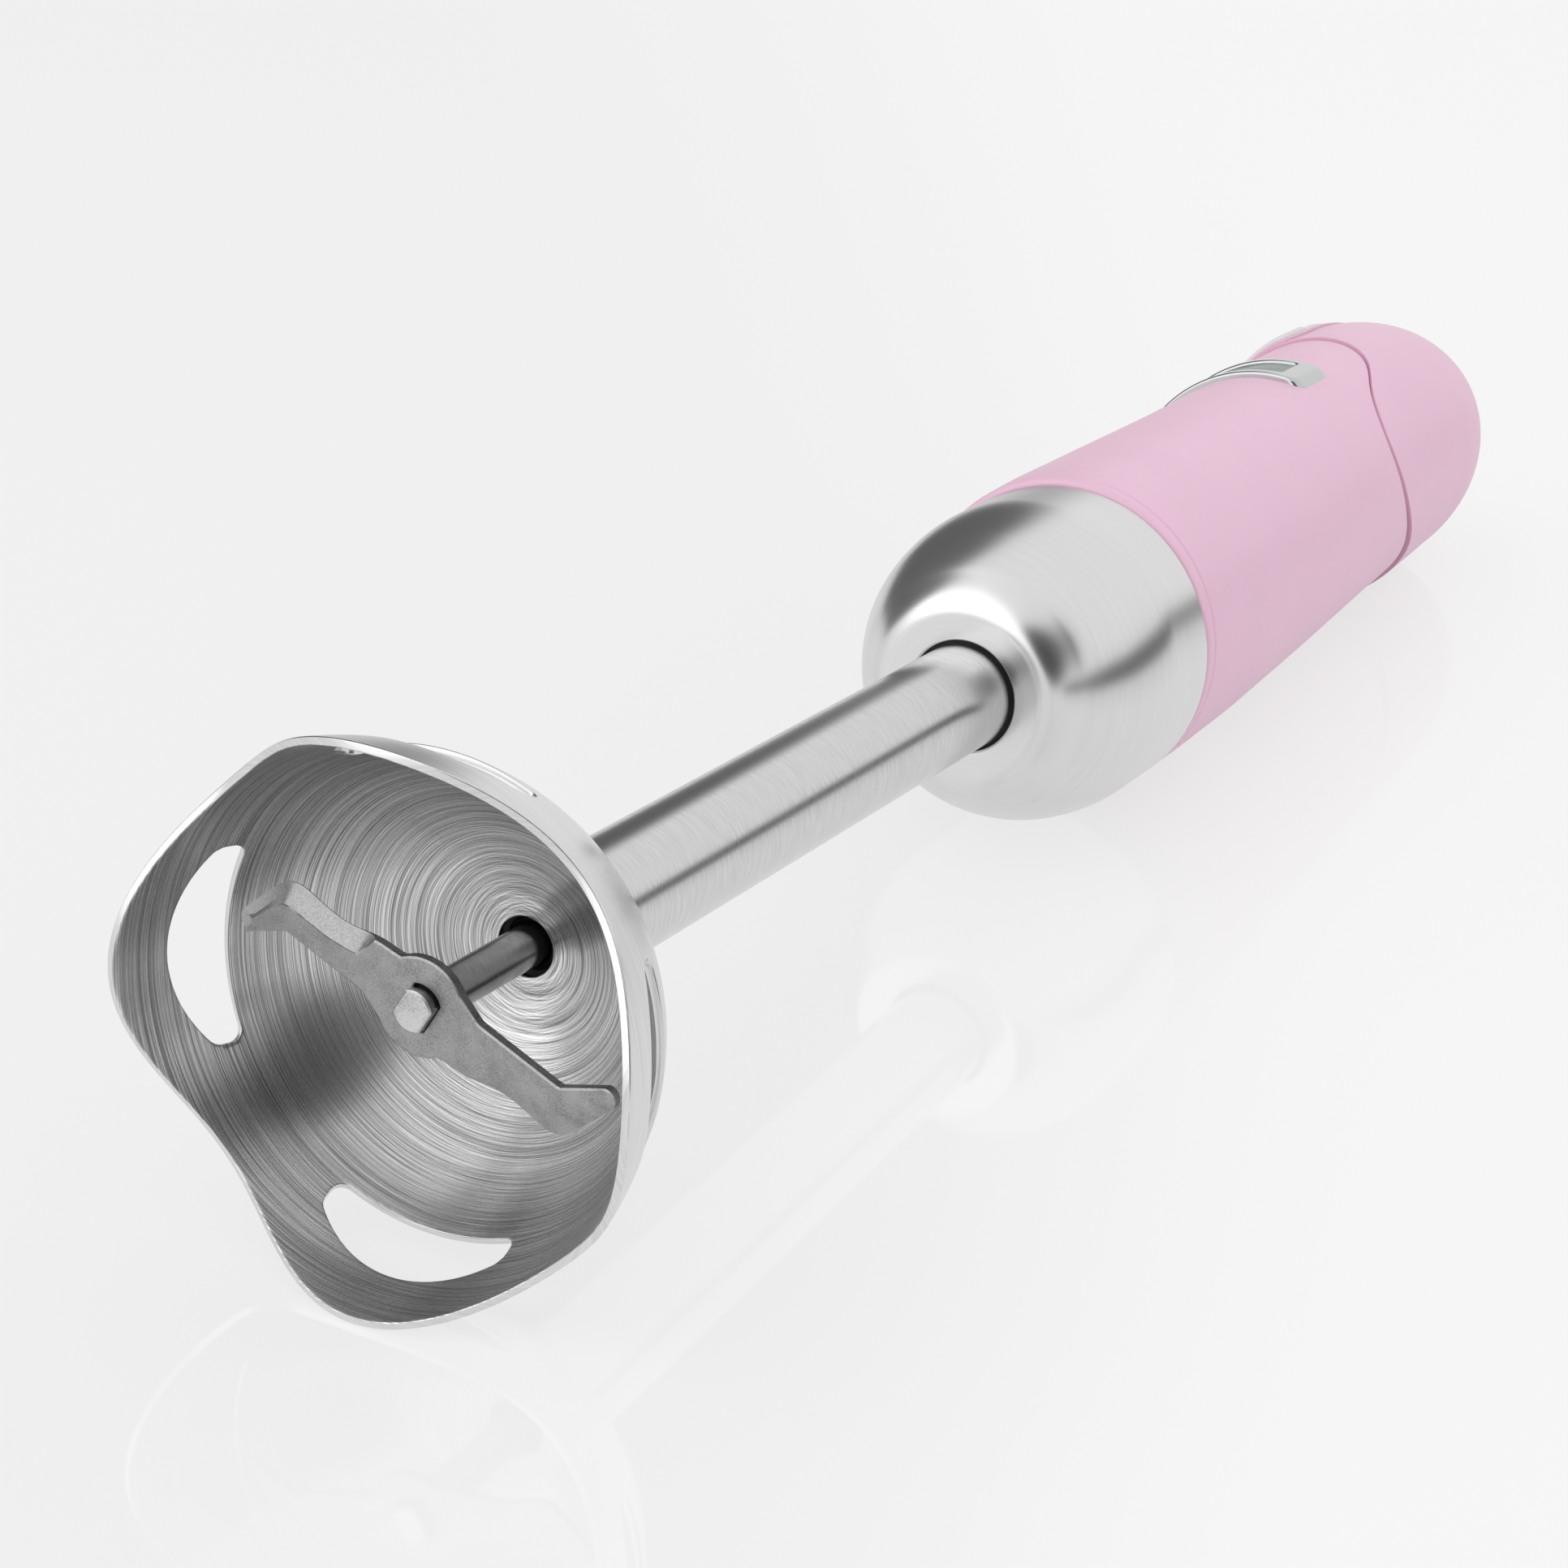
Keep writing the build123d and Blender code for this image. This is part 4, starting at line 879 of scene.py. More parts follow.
@dataclass(frozen=True)
class TurnedSteel(Finish):
    """Stainless steel whose scratches run round the long axis.

    The eye gets fine bright and dark arcs, and light that spreads across them in wedges.
    """

    dark: str = "#6E6E6F"
    line: float = 0.3            # millimetres from one visible line to the next; real ones are finer
    arc: float = 5.0             # how many times the pattern changes round the axis
    contrast: float = 0.5
    spread: float = 0.8
    bump: float = 0.2

    def dress(self, surface: Surface) -> None:
        """Three sets of arcs, two of them off centre, give colour, roughness and relief."""
        centres = (((0.0, 0.0, 0.0), 1.0), ((0.9, -0.7, 0.0), 1.7), ((-0.6, 1.1, 0.0), 0.6))
        first, second, third = (self.arcs(surface, shift, size) for shift, size in centres)
        mixed = surface.maths("ADD", surface.maths("ADD", first, second), third)
        lines = surface.remap(mixed, 0.0, 1.0, 1.25, 1.75)
        shade = surface.remap(lines, 1.0 - self.contrast, 1.0)
        colour = surface.node(
            "ShaderNodeMix", {0: shade, 6: srgb(self.dark), 7: srgb(self.colour)}, data_type="RGBA"
        )
        rough = surface.remap(
            lines, self.roughness + 0.06 * self.contrast, self.roughness - 0.04 * self.contrast
        )
        surface.relief(lines, self.bump, 0.02)
        surface.wear({"Base Color": colour.outputs[2], "Roughness": rough, "Metallic": 1.0})
        parts = surface.node("ShaderNodeSeparateXYZ", {0: surface.place})
        back = surface.maths("MULTIPLY", parts.outputs["Y"], -1.0)
        round_axis = surface.node("ShaderNodeCombineXYZ", {"X": back, "Y": parts.outputs["X"]})
        surface.brush(round_axis.outputs[0], self.spread)

    def arcs(self, surface: Surface, shift: tuple[float, float, float], size: float) -> bpy.types.NodeSocket:
        """One set of fine arcs round a centre that may be shifted a little."""
        moved = surface.vector("ADD", surface.place, shift)
        flat = surface.vector("MULTIPLY", moved, (1.0, 1.0, 0.0))
        height = surface.node("ShaderNodeSeparateXYZ", {0: moved})
        depth = surface.maths("SUBTRACT", surface.vector("LENGTH", flat), height.outputs["Z"])
        across = surface.maths("MULTIPLY", depth, 1 / (self.line * size))
        level = surface.node("ShaderNodeCombineXYZ", {"Z": across})
        spot = surface.vector(
            "MULTIPLY_ADD", surface.vector("NORMALIZE", flat), (self.arc, self.arc, 0.0), level.outputs[0]
        )
        return surface.noise(spot, 1.0, 1.5, 0.6)


@dataclass(frozen=True)
class BlastedSteel(Finish):
    """Steel or bronze with an even grain: matte, with tiny dark and light specks and no direction."""

    speck: float = 0.16          # millimetres; the real grain is finer than shows
    depth: float = 0.5

    def dress(self, surface: Surface) -> None:
        """Specks in colour and relief over soft patches."""
        fine = surface.noise(surface.place, 1 / self.speck, 3.0, 0.7)
        patches = surface.noise(surface.place, 0.35, 2.0)
        both = surface.node("ShaderNodeMix", {0: 0.3, 2: fine, 3: patches}, data_type="FLOAT")
        colour = surface.ramp(both.outputs[0], self.darkened(self.depth), srgb(self.colour), 0.34, 0.56)
        surface.relief(fine, 0.35, 0.03)
        surface.wear({"Base Color": colour, "Metallic": 1.0, "Roughness": self.roughness})


@dataclass(frozen=True)
class GroundSteel(Finish):
    """Steel ground or drawn in one direction, given as an upright direction its lines follow."""

    lines: tuple[float, float, float] = (0.0, 0.0, 1.0)
    line: float = 0.22           # millimetres between visible lines
    contrast: float = 0.35
    spread: float = 0.6

    def dress(self, surface: Surface) -> None:
        """Noise that is stretched along the lines."""
        way = Vector(self.lines).normalized()
        laid = surface.node(
            "ShaderNodeMapping",
            {"Vector": surface.place, "Rotation": way.rotation_difference(Vector((0.0, 0.0, 1.0))).to_euler(),
             "Scale": (1 / self.line, 1 / self.line, 0.08 / self.line)},
        )
        noise = surface.noise(laid.outputs[0], 1.0, 3.0, 0.6)
        colour = surface.ramp(noise, self.darkened(self.contrast), srgb(self.colour), 0.3, 0.62)
        surface.relief(noise, 0.2, 0.02)
        surface.wear({"Base Color": colour, "Metallic": 1.0, "Roughness": self.roughness})
        direction = surface.node("ShaderNodeCombineXYZ", {"X": way.x, "Y": way.y, "Z": way.z})
        surface.brush(direction.outputs[0], self.spread)


@dataclass(frozen=True)
class Moulded(Finish):
    """Moulded plastic, rubber or enamel: one colour, a fine texture and a soft sheen."""

    texture: float = 0.35        # millimetres; drawn coarser than a real mould's texture
    relief: float = 0.08
    variation: float = 0.03
    coat: float = 0.0
    ior: float = 1.5
    glow: float = 0.0            # how far light goes into the plastic, in millimetres

    def dress(self, surface: Surface) -> None:
        """Faint flow marks in the colour, mould texture in roughness and relief."""
        fine = surface.noise(surface.place, 1 / self.texture, 2.0)
        flow = surface.noise(surface.place, 0.06, 3.0)
        surface.relief(fine, self.relief, 0.02)
        surface.wear({
            "Base Color": surface.ramp(flow, self.darkened(self.variation), srgb(self.colour), 0.3, 0.7),
            "Roughness": surface.remap(fine, self.roughness - 0.03, self.roughness + 0.05, 0.3, 0.7),
            "IOR": self.ior, "Coat Weight": self.coat, "Coat Roughness": 0.18,
        })
        if self.glow:
            surface.wear({"Subsurface Weight": 0.15, "Subsurface Scale": self.glow * MILLI})


@dataclass(frozen=True)
class Plated(Finish):
    """Bright plated or polished metal with a faint haze."""

    haze: float = 0.05

    def dress(self, surface: Surface) -> None:
        """Soft cloudy haze in the roughness and a trace of waviness."""
        cloud = surface.noise(surface.place, 0.5, 4.0)
        rough = surface.remap(cloud, self.roughness, self.roughness + 2 * self.haze)
        surface.relief(cloud, 0.05, 0.05)
        surface.wear({"Base Color": srgb(self.colour), "Metallic": 1.0, "Roughness": rough})


@dataclass(frozen=True)
class Layered(Finish):
    """Material with layers or turns across a direction: sheet stacks, wound wire, board."""

    pitch: float = 0.5           # millimetres from one layer or turn to the next
    across: tuple[float, float, float] = (0.0, 0.0, 1.0)
    gap: str = "#202020"
    metallic: float = 0.0
    relief: float = 0.5

    def dress(self, surface: Surface) -> None:
        """Bands across the direction, slightly uneven, with dark gaps between them."""
        level = surface.vector("DOT_PRODUCT", surface.place, Vector(self.across).normalized())
        turn = surface.maths("MULTIPLY", level, 2 * math.pi / self.pitch)
        uneven = surface.noise(surface.place, 1.2, 2.0)
        wave = surface.maths("SINE", surface.maths("MULTIPLY_ADD", uneven, 1.5, turn))
        band = surface.remap(wave, 0.0, 1.0, -0.9, 0.2)
        colour = surface.ramp(band, srgb(self.gap), srgb(self.colour))
        surface.relief(band, self.relief, 0.2 * self.pitch)
        surface.wear({"Base Color": colour, "Roughness": self.roughness, "Metallic": self.metallic})


BELL_STEEL = TurnedSteel(
    "turned_stainless_steel_bell", "#E8E8E8", 0.25,
    dark="#848485", line=0.095, arc=0.6, contrast=1.0, spread=0.92,
    bump=0.1,
)
BELL_OUTSIDE = TurnedSteel(
    "satin_polished_stainless_steel_bell", "#DEDEDE", 0.24, dark="#BEBEBE", line=0.2, arc=1.5, contrast=0.4,
    spread=0.5, bump=0.03,
)
DOME_STEEL = TurnedSteel(
    "satin_polished_stainless_steel_dome", "#DEDEDE", 0.25, dark="#CCCCCC", line=0.3, arc=1.2, contrast=0.15,
    spread=0.1, bump=0.0,
)
TUBE_STEEL = TurnedSteel(
    "brushed_stainless_steel_tube", "#D6D6D6", 0.23, dark="#C0C0C0", line=0.2, arc=2.0, contrast=0.5,
    spread=0.1, bump=0.0,
)
SHAFT_STEEL = TurnedSteel(
    "ground_steel_drive_shaft", "#A9A9AA", 0.22, dark="#808080", line=0.25, arc=2.0, contrast=0.4, spread=0.4,
    bump=0.08,
)
BLADE_FACE = BlastedSteel("fine_blasted_blade_steel", "#A6A6A6", 0.42)
BLADE_GROUND = GroundSteel("ground_blade_edge_steel", "#B2B2B2", 0.42, lines=(-0.79, 0.6, 0.0), line=0.2)
BLADE_WALL = BlastedSteel("stamped_blade_wall_steel", "#8A8A8B", 0.5, speck=0.25, depth=0.6)
SHAFT_FACE = BlastedSteel("machined_shaft_end_steel", "#D0D0D0", 0.4, speck=0.2, depth=0.45)
PINK_ABS = Moulded(
    "satin_moulded_pink_abs", "#E6BCD3", 0.42, texture=0.5, relief=0.05, variation=0.02, coat=0.05, glow=1.0
)
CHROME = Plated("bright_chrome_plate", "#C4C6C6", 0.12)
PLATE_PANEL = Moulded("grey_green_enamel_panel", "#74837B", 0.3, texture=0.2, relief=0.1, coat=0.3)
KEY_RUBBER = Moulded("soft_light_grey_elastomer", "#DCDCDE", 0.55, texture=0.3, relief=0.2)
DIAL_ABS = Moulded("light_grey_moulded_abs", "#D5D5D8", 0.32)
GLAND_PVC = Moulded("light_grey_soft_pvc", "#D6D6D6", 0.5, texture=0.4, relief=0.15)
SEAL_RUBBER = Moulded("black_nitrile_rubber", "#0C0C0C", 0.45, texture=0.25, relief=0.2)


# ---------------------------------------------------------------- the blender's forms
BODY_START = 161.0
BODY_REACH = ((-2.7, 26.0, 25.0), (0.0, 26.3, 25.1), (29.0, 26.5, 24.4), (64.0, 26.7, 22.7),
              (101.0, 27.5, 20.6), (139.0, 28.2, 18.6))
CAP_REACH = ((85.0, 26.9, 21.6), (119.0, 27.8, 20.3), (132.0, 28.6, 19.8), (142.0, 28.6, 19.3))
CAP_LENGTH = 40.0
CAP_CUT = 33.0
CAP_TOP = BODY_START + 142.0 + CAP_CUT
CAP_MIDDLE = 4.65
SEAM = ((-30.0, 129.0), (-21.0, 119.0), (-12.0, 104.5), (-2.0, 101.0), (8.0, 108.5), (16.0, 123.5),
        (22.0, 128.0), (34.0, 129.5))


def form_of(stations: Sequence[tuple[float, float, float]], steps: int) -> RoundForm:
    """Smooth form through stations of height, reach to the front and reach to the back."""
    table = np.array(stations)
    heights = np.linspace(table[0, 0], table[-1, 0], steps + 1)
    front = np.interp(heights, table[:, 0], table[:, 1])
    back = np.interp(heights, table[:, 0], table[:, 2])
    radius = spline(list(zip(heights, (front + back) / 2)), 400)
    centre = spline(list(zip(heights, (front - back) / 2)), 400)
    fine = np.linspace(heights[0], heights[-1], 401)
    radii, centres = (np.interp(fine, curve[:, 0], curve[:, 1]) for curve in (radius, centre))
    return RoundForm(fine + BODY_START, radii, centres)


def body_form() -> RoundForm:
    """Form of the handle's body."""
    return form_of(BODY_REACH, 14)


def cap_form() -> RoundForm:
    """Form of the end cap: its stations, then a closing half ellipsoid."""
    lower = form_of(CAP_REACH, 12)
    rise = np.linspace(0, CAP_CUT, 60)[1:]
    radius = lower.radii[-1] * np.sqrt(1 - (rise / CAP_LENGTH) ** 2)
    return RoundForm(
        np.r_[lower.heights, lower.heights[-1] + rise],
        np.r_[lower.radii, radius],
        np.r_[lower.centres, np.full(len(rise), lower.centres[-1])],
    )


def seam_height(form: RoundForm, angle: np.ndarray) -> np.ndarray:
    """Height of the curved seam at angles round a form."""
    line = spline(SEAM, 400)
    height = np.full(angle.shape, BODY_START + 115.0)
    for _ in range(12):
        x = form.centre(height) + form.radius(height) * np.cos(angle)
        height = BODY_START + np.interp(x, line[:, 0], line[:, 1])
    return height


def dressed(
    piece: bpy.types.Object, lie: Lie, body: str, nodes: Sequence[str], finishes: Sequence[Finish],
    smooth: float = 30.0, weighted: bool = True,
) -> None:
    """Finishes a piece, gives it its materials and sets it on its body.

    Args:
        piece: The piece, upright and in millimetres.
        lie: How the blender lies.
        body: The body it rides on.
        nodes: The CAD nodes it stands for.
        finishes: Its finishes, in the order of its material slots.
        smooth: Edges sharper than this many degrees stay sharp.
        weighted: Keeps broad faces flat beside small bevels.
    """
    finish_piece(piece, lie, smooth, weighted)
    for finish in finishes:
        piece.data.materials.append(finish.build(lie))
    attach(piece, body)
    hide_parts(*nodes)
    LOG.info("%s: %d faces on %s", piece.name, len(piece.data.polygons), body)


# ---------------------------------------------------------------- blending foot
@dataclass(frozen=True)
class BlendingFoot:
    """The steel foot: lobed bell with four windows, tube, seal and dome."""

    bell_wall: tuple[tuple[float, float, float], ...] = (
        (35.55, -34.8, 14.0), (33.5, -26.4, 17.0), (28.4, -14.4, 31.0), (18.6, -3.6, 52.0),
        (8.1, 1.05, 74.0), (3.88, 1.4, 88.0),
    )
    bell_thickness: float = 1.0
    rim_level: float = 30.62
    rim_wave: float = 3.63
    rim_set_in: float = 0.28     # keeps the rounded rim inside its CAD size
    slot_half: float = 13.0
    slot_top: float = -18.4
    slot_depth: float = 7.8
    slot_shoulder: float = 3.6
    slot_corner: float = 1.8
    tube_radius: float = 8.1
    tube_wall: float = 1.0
    weld_radius: float = 1.3     # hollow curve where the tube meets the bell
    tube_foot: float = 1.4
    tube_top: float = 145.2
    dome_foot: float = 121.2
    dome_hole: float = 8.6
    dome_flat: float = 12.4
    dome_wall: float = 1.0
    dome_radius: float = 25.1
    dome_rim: float = 158.0
    dome_straight: float = 12.0
    dome_face: tuple[tuple[float, float, float], ...] = (
        (18.4, 4.3, 42.0), (22.5, 11.2, 23.0), (24.5, 18.2, 10.0),
    )
    seal_inner: float = 2.68
    seal_outer: float = 5.6

    def build(self, lie: Lie) -> None:
        """Makes the foot's visible pieces."""
        self.bell(lie)
        self.tube(lie)
        self.seal(lie)
        self.dome(lie)

    def bell_form(self) -> RoundForm:
        """The bell's outer wall as a form."""
        curve = wall_curve(self.bell_wall, -1, 40)
        return RoundForm(curve[:, 1], curve[:, 0], np.zeros(len(curve)))

    def bell_place(self, across: np.ndarray, level: np.ndarray) -> np.ndarray:
        """Place on the bell from the share round it and the share from rim to hole."""
        angle = 2 * math.pi * across
        curve = wall_curve(self.bell_wall, -1, 40)
        lengths = np.r_[0.0, np.cumsum(np.linalg.norm(np.diff(curve, axis=0), axis=1))]
        rim = -self.rim_level + self.rim_wave * np.cos(4 * angle) + self.rim_set_in
        start = np.interp(rim, curve[:, 1], lengths)
        reached = start + (lengths[-1] - start) * level
        radius = np.interp(reached, lengths, curve[:, 0])
        height = np.interp(reached, lengths, curve[:, 1])
        return np.stack([radius * np.cos(angle), radius * np.sin(angle), height], axis=1)

    def slot_outline(self) -> Loop:
        """One window: straight inner side, bowed outer side, rounded corners."""
        half, top = self.slot_half, self.slot_top
        shoulder = top - self.slot_shoulder
        drop = self.slot_depth - self.slot_shoulder
        bow_radius = (half**2 + drop**2) / (2 * drop)
        middle = top - self.slot_depth + bow_radius
        spread = math.asin(half / bow_radius)
        bow = [
            (bow_radius * math.sin(a), middle - bow_radius * math.cos(a), 0.0)
            for a in np.linspace(-spread, spread, 25)[1:-1]
        ]
        return rounded(
            [(-half, shoulder, self.slot_corner), *bow, (half, shoulder, self.slot_corner),
             (half, top, self.slot_corner), (-half, top, self.slot_corner)]
        )

    def bell(self, lie: Lie) -> None:
        """The bell: a wavy-rimmed sheet, four windows, then its wall and rounded edges."""
        piece = sheet("bell", 320, 96, self.bell_place, closed=True)
        outline = self.slot_outline()
        for lobe in range(4):
            cut(piece, self.bell_form(), Window(outline, 45.0 + 90.0 * lobe))
        face_out(piece, Vector((0, 0, -20)))
        thicken(piece, self.bell_thickness, 0.3, segments=3)
        middle, normal = face_centres(piece), face_normals(piece)
        radius = np.linalg.norm(middle[:, :2], axis=1)
        share = radius / self.bell_wall[0][0]
        outwards = (normal[:, :2] * middle[:, :2]).sum(axis=1) / radius * share + normal[:, 2] * (1 - share)
        piece.data.polygons.foreach_set("material_index", (outwards > -0.35).astype(np.int32))
        finishes = [BELL_STEEL, BELL_OUTSIDE]
        dressed(piece, lie, "shaft_unit", ["blade_guard"], finishes, smooth=32)

    def tube(self, lie: Lie) -> None:
        """The bare tube with its rolled weld at the bell."""
        r, w, hollow = self.tube_radius, self.tube_wall, self.weld_radius
        weld = [(r + hollow * (1 - math.sin(a)), self.tube_foot - 0.2 + hollow * (1 - math.cos(a)))
                for a in np.linspace(0, math.pi / 2, 7)]
        outline = [(r - w, self.tube_foot), (r + hollow, self.tube_foot - 0.5)] + weld
        rise = np.linspace(weld[-1][1], self.tube_top - 0.4, 40)[1:]
        outline += [(r, z) for z in rise] + [(r - 0.4, self.tube_top), (r - w, self.tube_top)]
        piece = spun("tube", np.array(outline), 192)
        dressed(piece, lie, "shaft_unit", ["shaft_tube"], [TUBE_STEEL])

    def seal(self, lie: Lie) -> None:
        """Lip seal behind the hole: a ring whose lip turns down round the shaft."""
        foot, inner = self.tube_foot, self.seal_inner
        outline = [(self.seal_outer, foot), (self.seal_outer, foot + 3.0), (inner + 0.6, foot + 3.0),
                   (inner + 0.3, foot + 1.9), (inner, foot + 1.2), (inner, foot + 0.8),
                   (inner + 0.35, foot + 0.35), (inner + 0.9, foot + 0.75), (inner + 1.5, foot + 0.3),
                   (inner + 2.1, foot)]
        piece = spun("lip_seal", np.array(outline), 96)
        dressed(piece, lie, "shaft_unit", ["shaft_seal"], [SEAL_RUBBER], smooth=50)

    def dome(self, lie: Lie) -> None:
        """The dome: a turned shell with a flat ring round its hole and a rounded hole edge."""
        foot, rim = self.dome_foot, self.dome_rim
        shoulder = rim - self.dome_straight
        stations = [(self.dome_flat, foot, 90.0)]
        stations += [(r, foot + h, lean) for r, h, lean in self.dome_face]
        stations += [(self.dome_radius, shoulder, 0.0)]
        outer = wall_curve(stations, 1, 24)
        hole = [(self.dome_hole + 0.5 - 0.5 * math.cos(a), foot + 0.5 - 0.5 * math.sin(a))
                for a in np.linspace(0, math.pi / 2, 6)]
        rise = [(self.dome_radius, z) for z in np.linspace(shoulder, rim - 0.3, 12)]
        edge = [(self.dome_radius - 0.3, rim), (self.dome_radius - self.dome_wall, rim)]
        normal = np.gradient(outer, axis=0)
        normal /= np.linalg.norm(normal, axis=1)[:, None]
        inner = outer + np.stack([-normal[:, 1], normal[:, 0]], axis=1) * self.dome_wall
        outline = np.vstack([hole, outer[:1] * [0.5, 1] + [0.5 * self.dome_hole, 0], outer, rise[1:], edge,
                             inner[::-1], [(self.dome_hole, foot + self.dome_wall)]])
        piece = spun("dome", outline, 256)
        dressed(piece, lie, "shaft_unit", ["coupling_dome"], [DOME_STEEL], smooth=25)


# ---------------------------------------------------------------- drive shaft and blade
@dataclass(frozen=True)
class BladeSet:
    """Drive shaft with its flattened end, and the blade with one ground and one rolled wing."""

    shaft_radius: float = 2.65
    shaft_end: float = -23.5
    shoulder: float = -20.6
    shaft_top: float = 152.8
    flats: float = 2.05
    flats_angle: float = 75.0
    groove_radius: float = 2.15
    grooves: tuple[float, ...] = (17.9, 145.5)
    groove_width: float = 0.8
    front: float = -22.0
    thickness: float = 1.4
    hub: float = 6.2
    hole: float = 3.0
    hole_flats: float = 2.07
    turn: float = 142.7
    bend: float = 3.2
    root: float = 4.0
    ground_width: float = 2.7
    ground_depth: float = 1.2
    roll_width: float = 2.6
    roll_depth: float = 0.42
    edge: float = 0.18
    most: float = 0.8            # of the way to the middle line that a ring may move inwards
    leading: tuple[Point2, ...] = ((0, -5.0), (4.4, -4.1), (8.1, -1.3), (20.0, 1.45), (25.7, -1.1))
    tip: tuple[Point2, ...] = ((25.7, -1.1), (27.4, -0.1), (27.0, 1.2))
    trailing: tuple[Point2, ...] = (
        (23.2, 5.6), (20.6, 7.3), (16.6, 6.6), (11.3, 5.5), (7.4, 5.7), (3.4, 5.2), (0, 5.2),
    )
    spine: tuple[Point2, ...] = (
        (0, 0), (6, 0.6), (9.5, 2.2), (14, 2.6), (17.5, 3.4), (20.9, 4.0), (23.0, 2.4), (24.4, 0.9),
    )
    around: int = 72             # points round the shaft
    wing_length: float = 27.0    # along the outline, about
    ground_ends: tuple[float, float] = (1.2, 3.2)    # where the ground edge starts and stops
    rolled_ends: tuple[float, float] = (6.0, 9.0)    # where the rolled edge starts and stops

    def build(self, lie: Lie) -> None:
        """Makes the shaft and the blade."""
        self.shaft(lie)
        self.blade(lie)

    def flattened(self, radius: float, half: float, height: float) -> Loop:
        """Ring of points of a round bar with two flats."""
        normal = math.radians(self.flats_angle + 90)
        reach = math.acos(min(1.0, half / radius))
        angle = np.linspace(0, 2 * math.pi, self.around, endpoint=False)
        for corner in (normal - reach, normal + reach, normal + math.pi - reach, normal + math.pi + reach):
            gap = (angle - corner + math.pi) % (2 * math.pi) - math.pi
            nearest = int(np.abs(gap).argmin())
            angle[nearest] -= gap[nearest]
        size = np.minimum(radius, half / np.maximum(np.abs(np.cos(angle - normal)), 1e-6))
        return np.stack([size * np.cos(angle), size * np.sin(angle), np.full(self.around, height)], axis=1)

    def shaft(self, lie: Lie) -> None:
        """The shaft, drawn from its flattened, slightly chamfered end to the coupling."""
        r = self.shaft_radius
        rings = [
            self.flattened(r - 0.22, self.flats - 0.2, self.shaft_end),
            self.flattened(r, self.flats, self.shaft_end + 0.22),
            self.flattened(r, self.flats, self.shoulder - 0.02),
        ]
        levels = [(r, self.shoulder)]
        for foot in self.grooves:
            top = foot + self.groove_width
            levels += [(r, foot), (self.groove_radius, foot), (self.groove_radius, top), (r, top)]
        levels += [(r, self.shaft_top - 0.3), (r - 0.3, self.shaft_top)]
        rings += [circle(radius, height, self.around) for radius, height in levels]
        piece = drawn("drive_shaft_bar", rings)
        dressed(piece, lie, "blade_unit", ["drive_shaft"], [SHAFT_STEEL, SHAFT_FACE])
        level = (face_centres(piece) - np.array(lie.origin)) @ np.array(lie.axis) / MILLI
        end = (face_normals(piece) @ np.array(lie.axis) < -0.5) & (level < self.shaft_end + 1)
        piece.data.polygons.foreach_set("material_index", end.astype(np.int32))

    def wing_outline(self) -> tuple[Loop, np.ndarray]:
        """Outline of one wing from its leading root round the tip to its trailing root.

        Returns:
            The points, and for each how far along the worked edge it lies: below 0 before it,
            0 to 1 on it and above 1 after it.
        """
        lead = along(np.array(self.leading), np.linspace(0, 1, 60))
        lead = np.array([p for p in lead if np.hypot(*p) > self.hub])
        a, b, c = (np.array(p) for p in self.tip)
        across = np.array([b - a, c - a])
        middle = a + np.linalg.solve(2 * across, (across**2).sum(axis=1))
        size = np.linalg.norm(a - middle)
        first = math.atan2(*(a - middle)[::-1])
        last = math.atan2(*(c - middle)[::-1])
        turns = np.linspace(first, last, 16)
        arc = np.array([middle + size * np.array([math.cos(t), math.sin(t)]) for t in turns])
        hook = along(np.array([self.tip[-1], self.trailing[0]]), np.linspace(0, 1, 20))
        bow = spline(self.trailing, 110)
        bow = np.array([p for p in bow if np.hypot(*p) > self.hub])
        points = np.vstack([lead, arc[1:], hook[1:], bow[1:]])
        lengths = np.r_[0.0, np.cumsum(np.linalg.norm(np.diff(points, axis=0), axis=1))]
        start = lengths[len(lead) - 1]
        finish = lengths[np.linalg.norm(points - np.array([7.4, 5.7]), axis=1).argmin()]
        return points, (lengths - start) / (finish - start)

    def outline(self) -> tuple[Loop, np.ndarray, np.ndarray]:
        """Closed outline of the blade.

        Returns:
            The points, the ground weight of each and the rolled weight of each.
        """
        wing, share = self.wing_outline()
        length = self.wing_length
        start, stop = self.ground_ends
        swell, fade = self.rolled_ends
        on = (share > 0) & (share < 1)
        rise = np.sqrt(np.clip(share * length / start, 0, 1))
        fall = np.clip((1 - share) * length / stop, 0, 1)
        weight = np.where(on, np.minimum(rise, np.sqrt(1 - (1 - fall) ** 2)), 0.0)
        ends = np.clip(share * length / swell, 0, 1) * np.clip((1 - share) * length / fade, 0, 1)
        soft = np.where(on, ends, 0.0)
        soft = soft**2 * (3 - 2 * soft)
        first = math.atan2(*wing[-1][::-1])
        last = math.atan2(*(-wing[0])[::-1])
        turns = np.linspace(first, last, 26)[1:-1]
        arc = np.array([(self.hub * math.cos(t), self.hub * math.sin(t)) for t in turns])
        none = np.zeros(len(arc))
        points = np.vstack([wing, arc, -wing, -arc])
        ground = np.r_[np.zeros(len(wing)), none, weight, none]
        rolled = np.r_[soft, none, np.zeros(len(wing)), none]
        return points, ground, rolled

    def inwards(self, points: Loop) -> Loop:
        """Way from each outline point to the blade's middle line."""
        half = along(np.array(self.spine), np.linspace(0, 1, 160))
        line = np.vstack([-half[::-1], half])
        near = line[np.linalg.norm(points[:, None] - line[None], axis=2).argmin(axis=1)]
        way = near - points
        for _ in range(6):
            way = (np.roll(way, 1, axis=0) + 2 * way + np.roll(way, -1, axis=0)) / 4
        return way

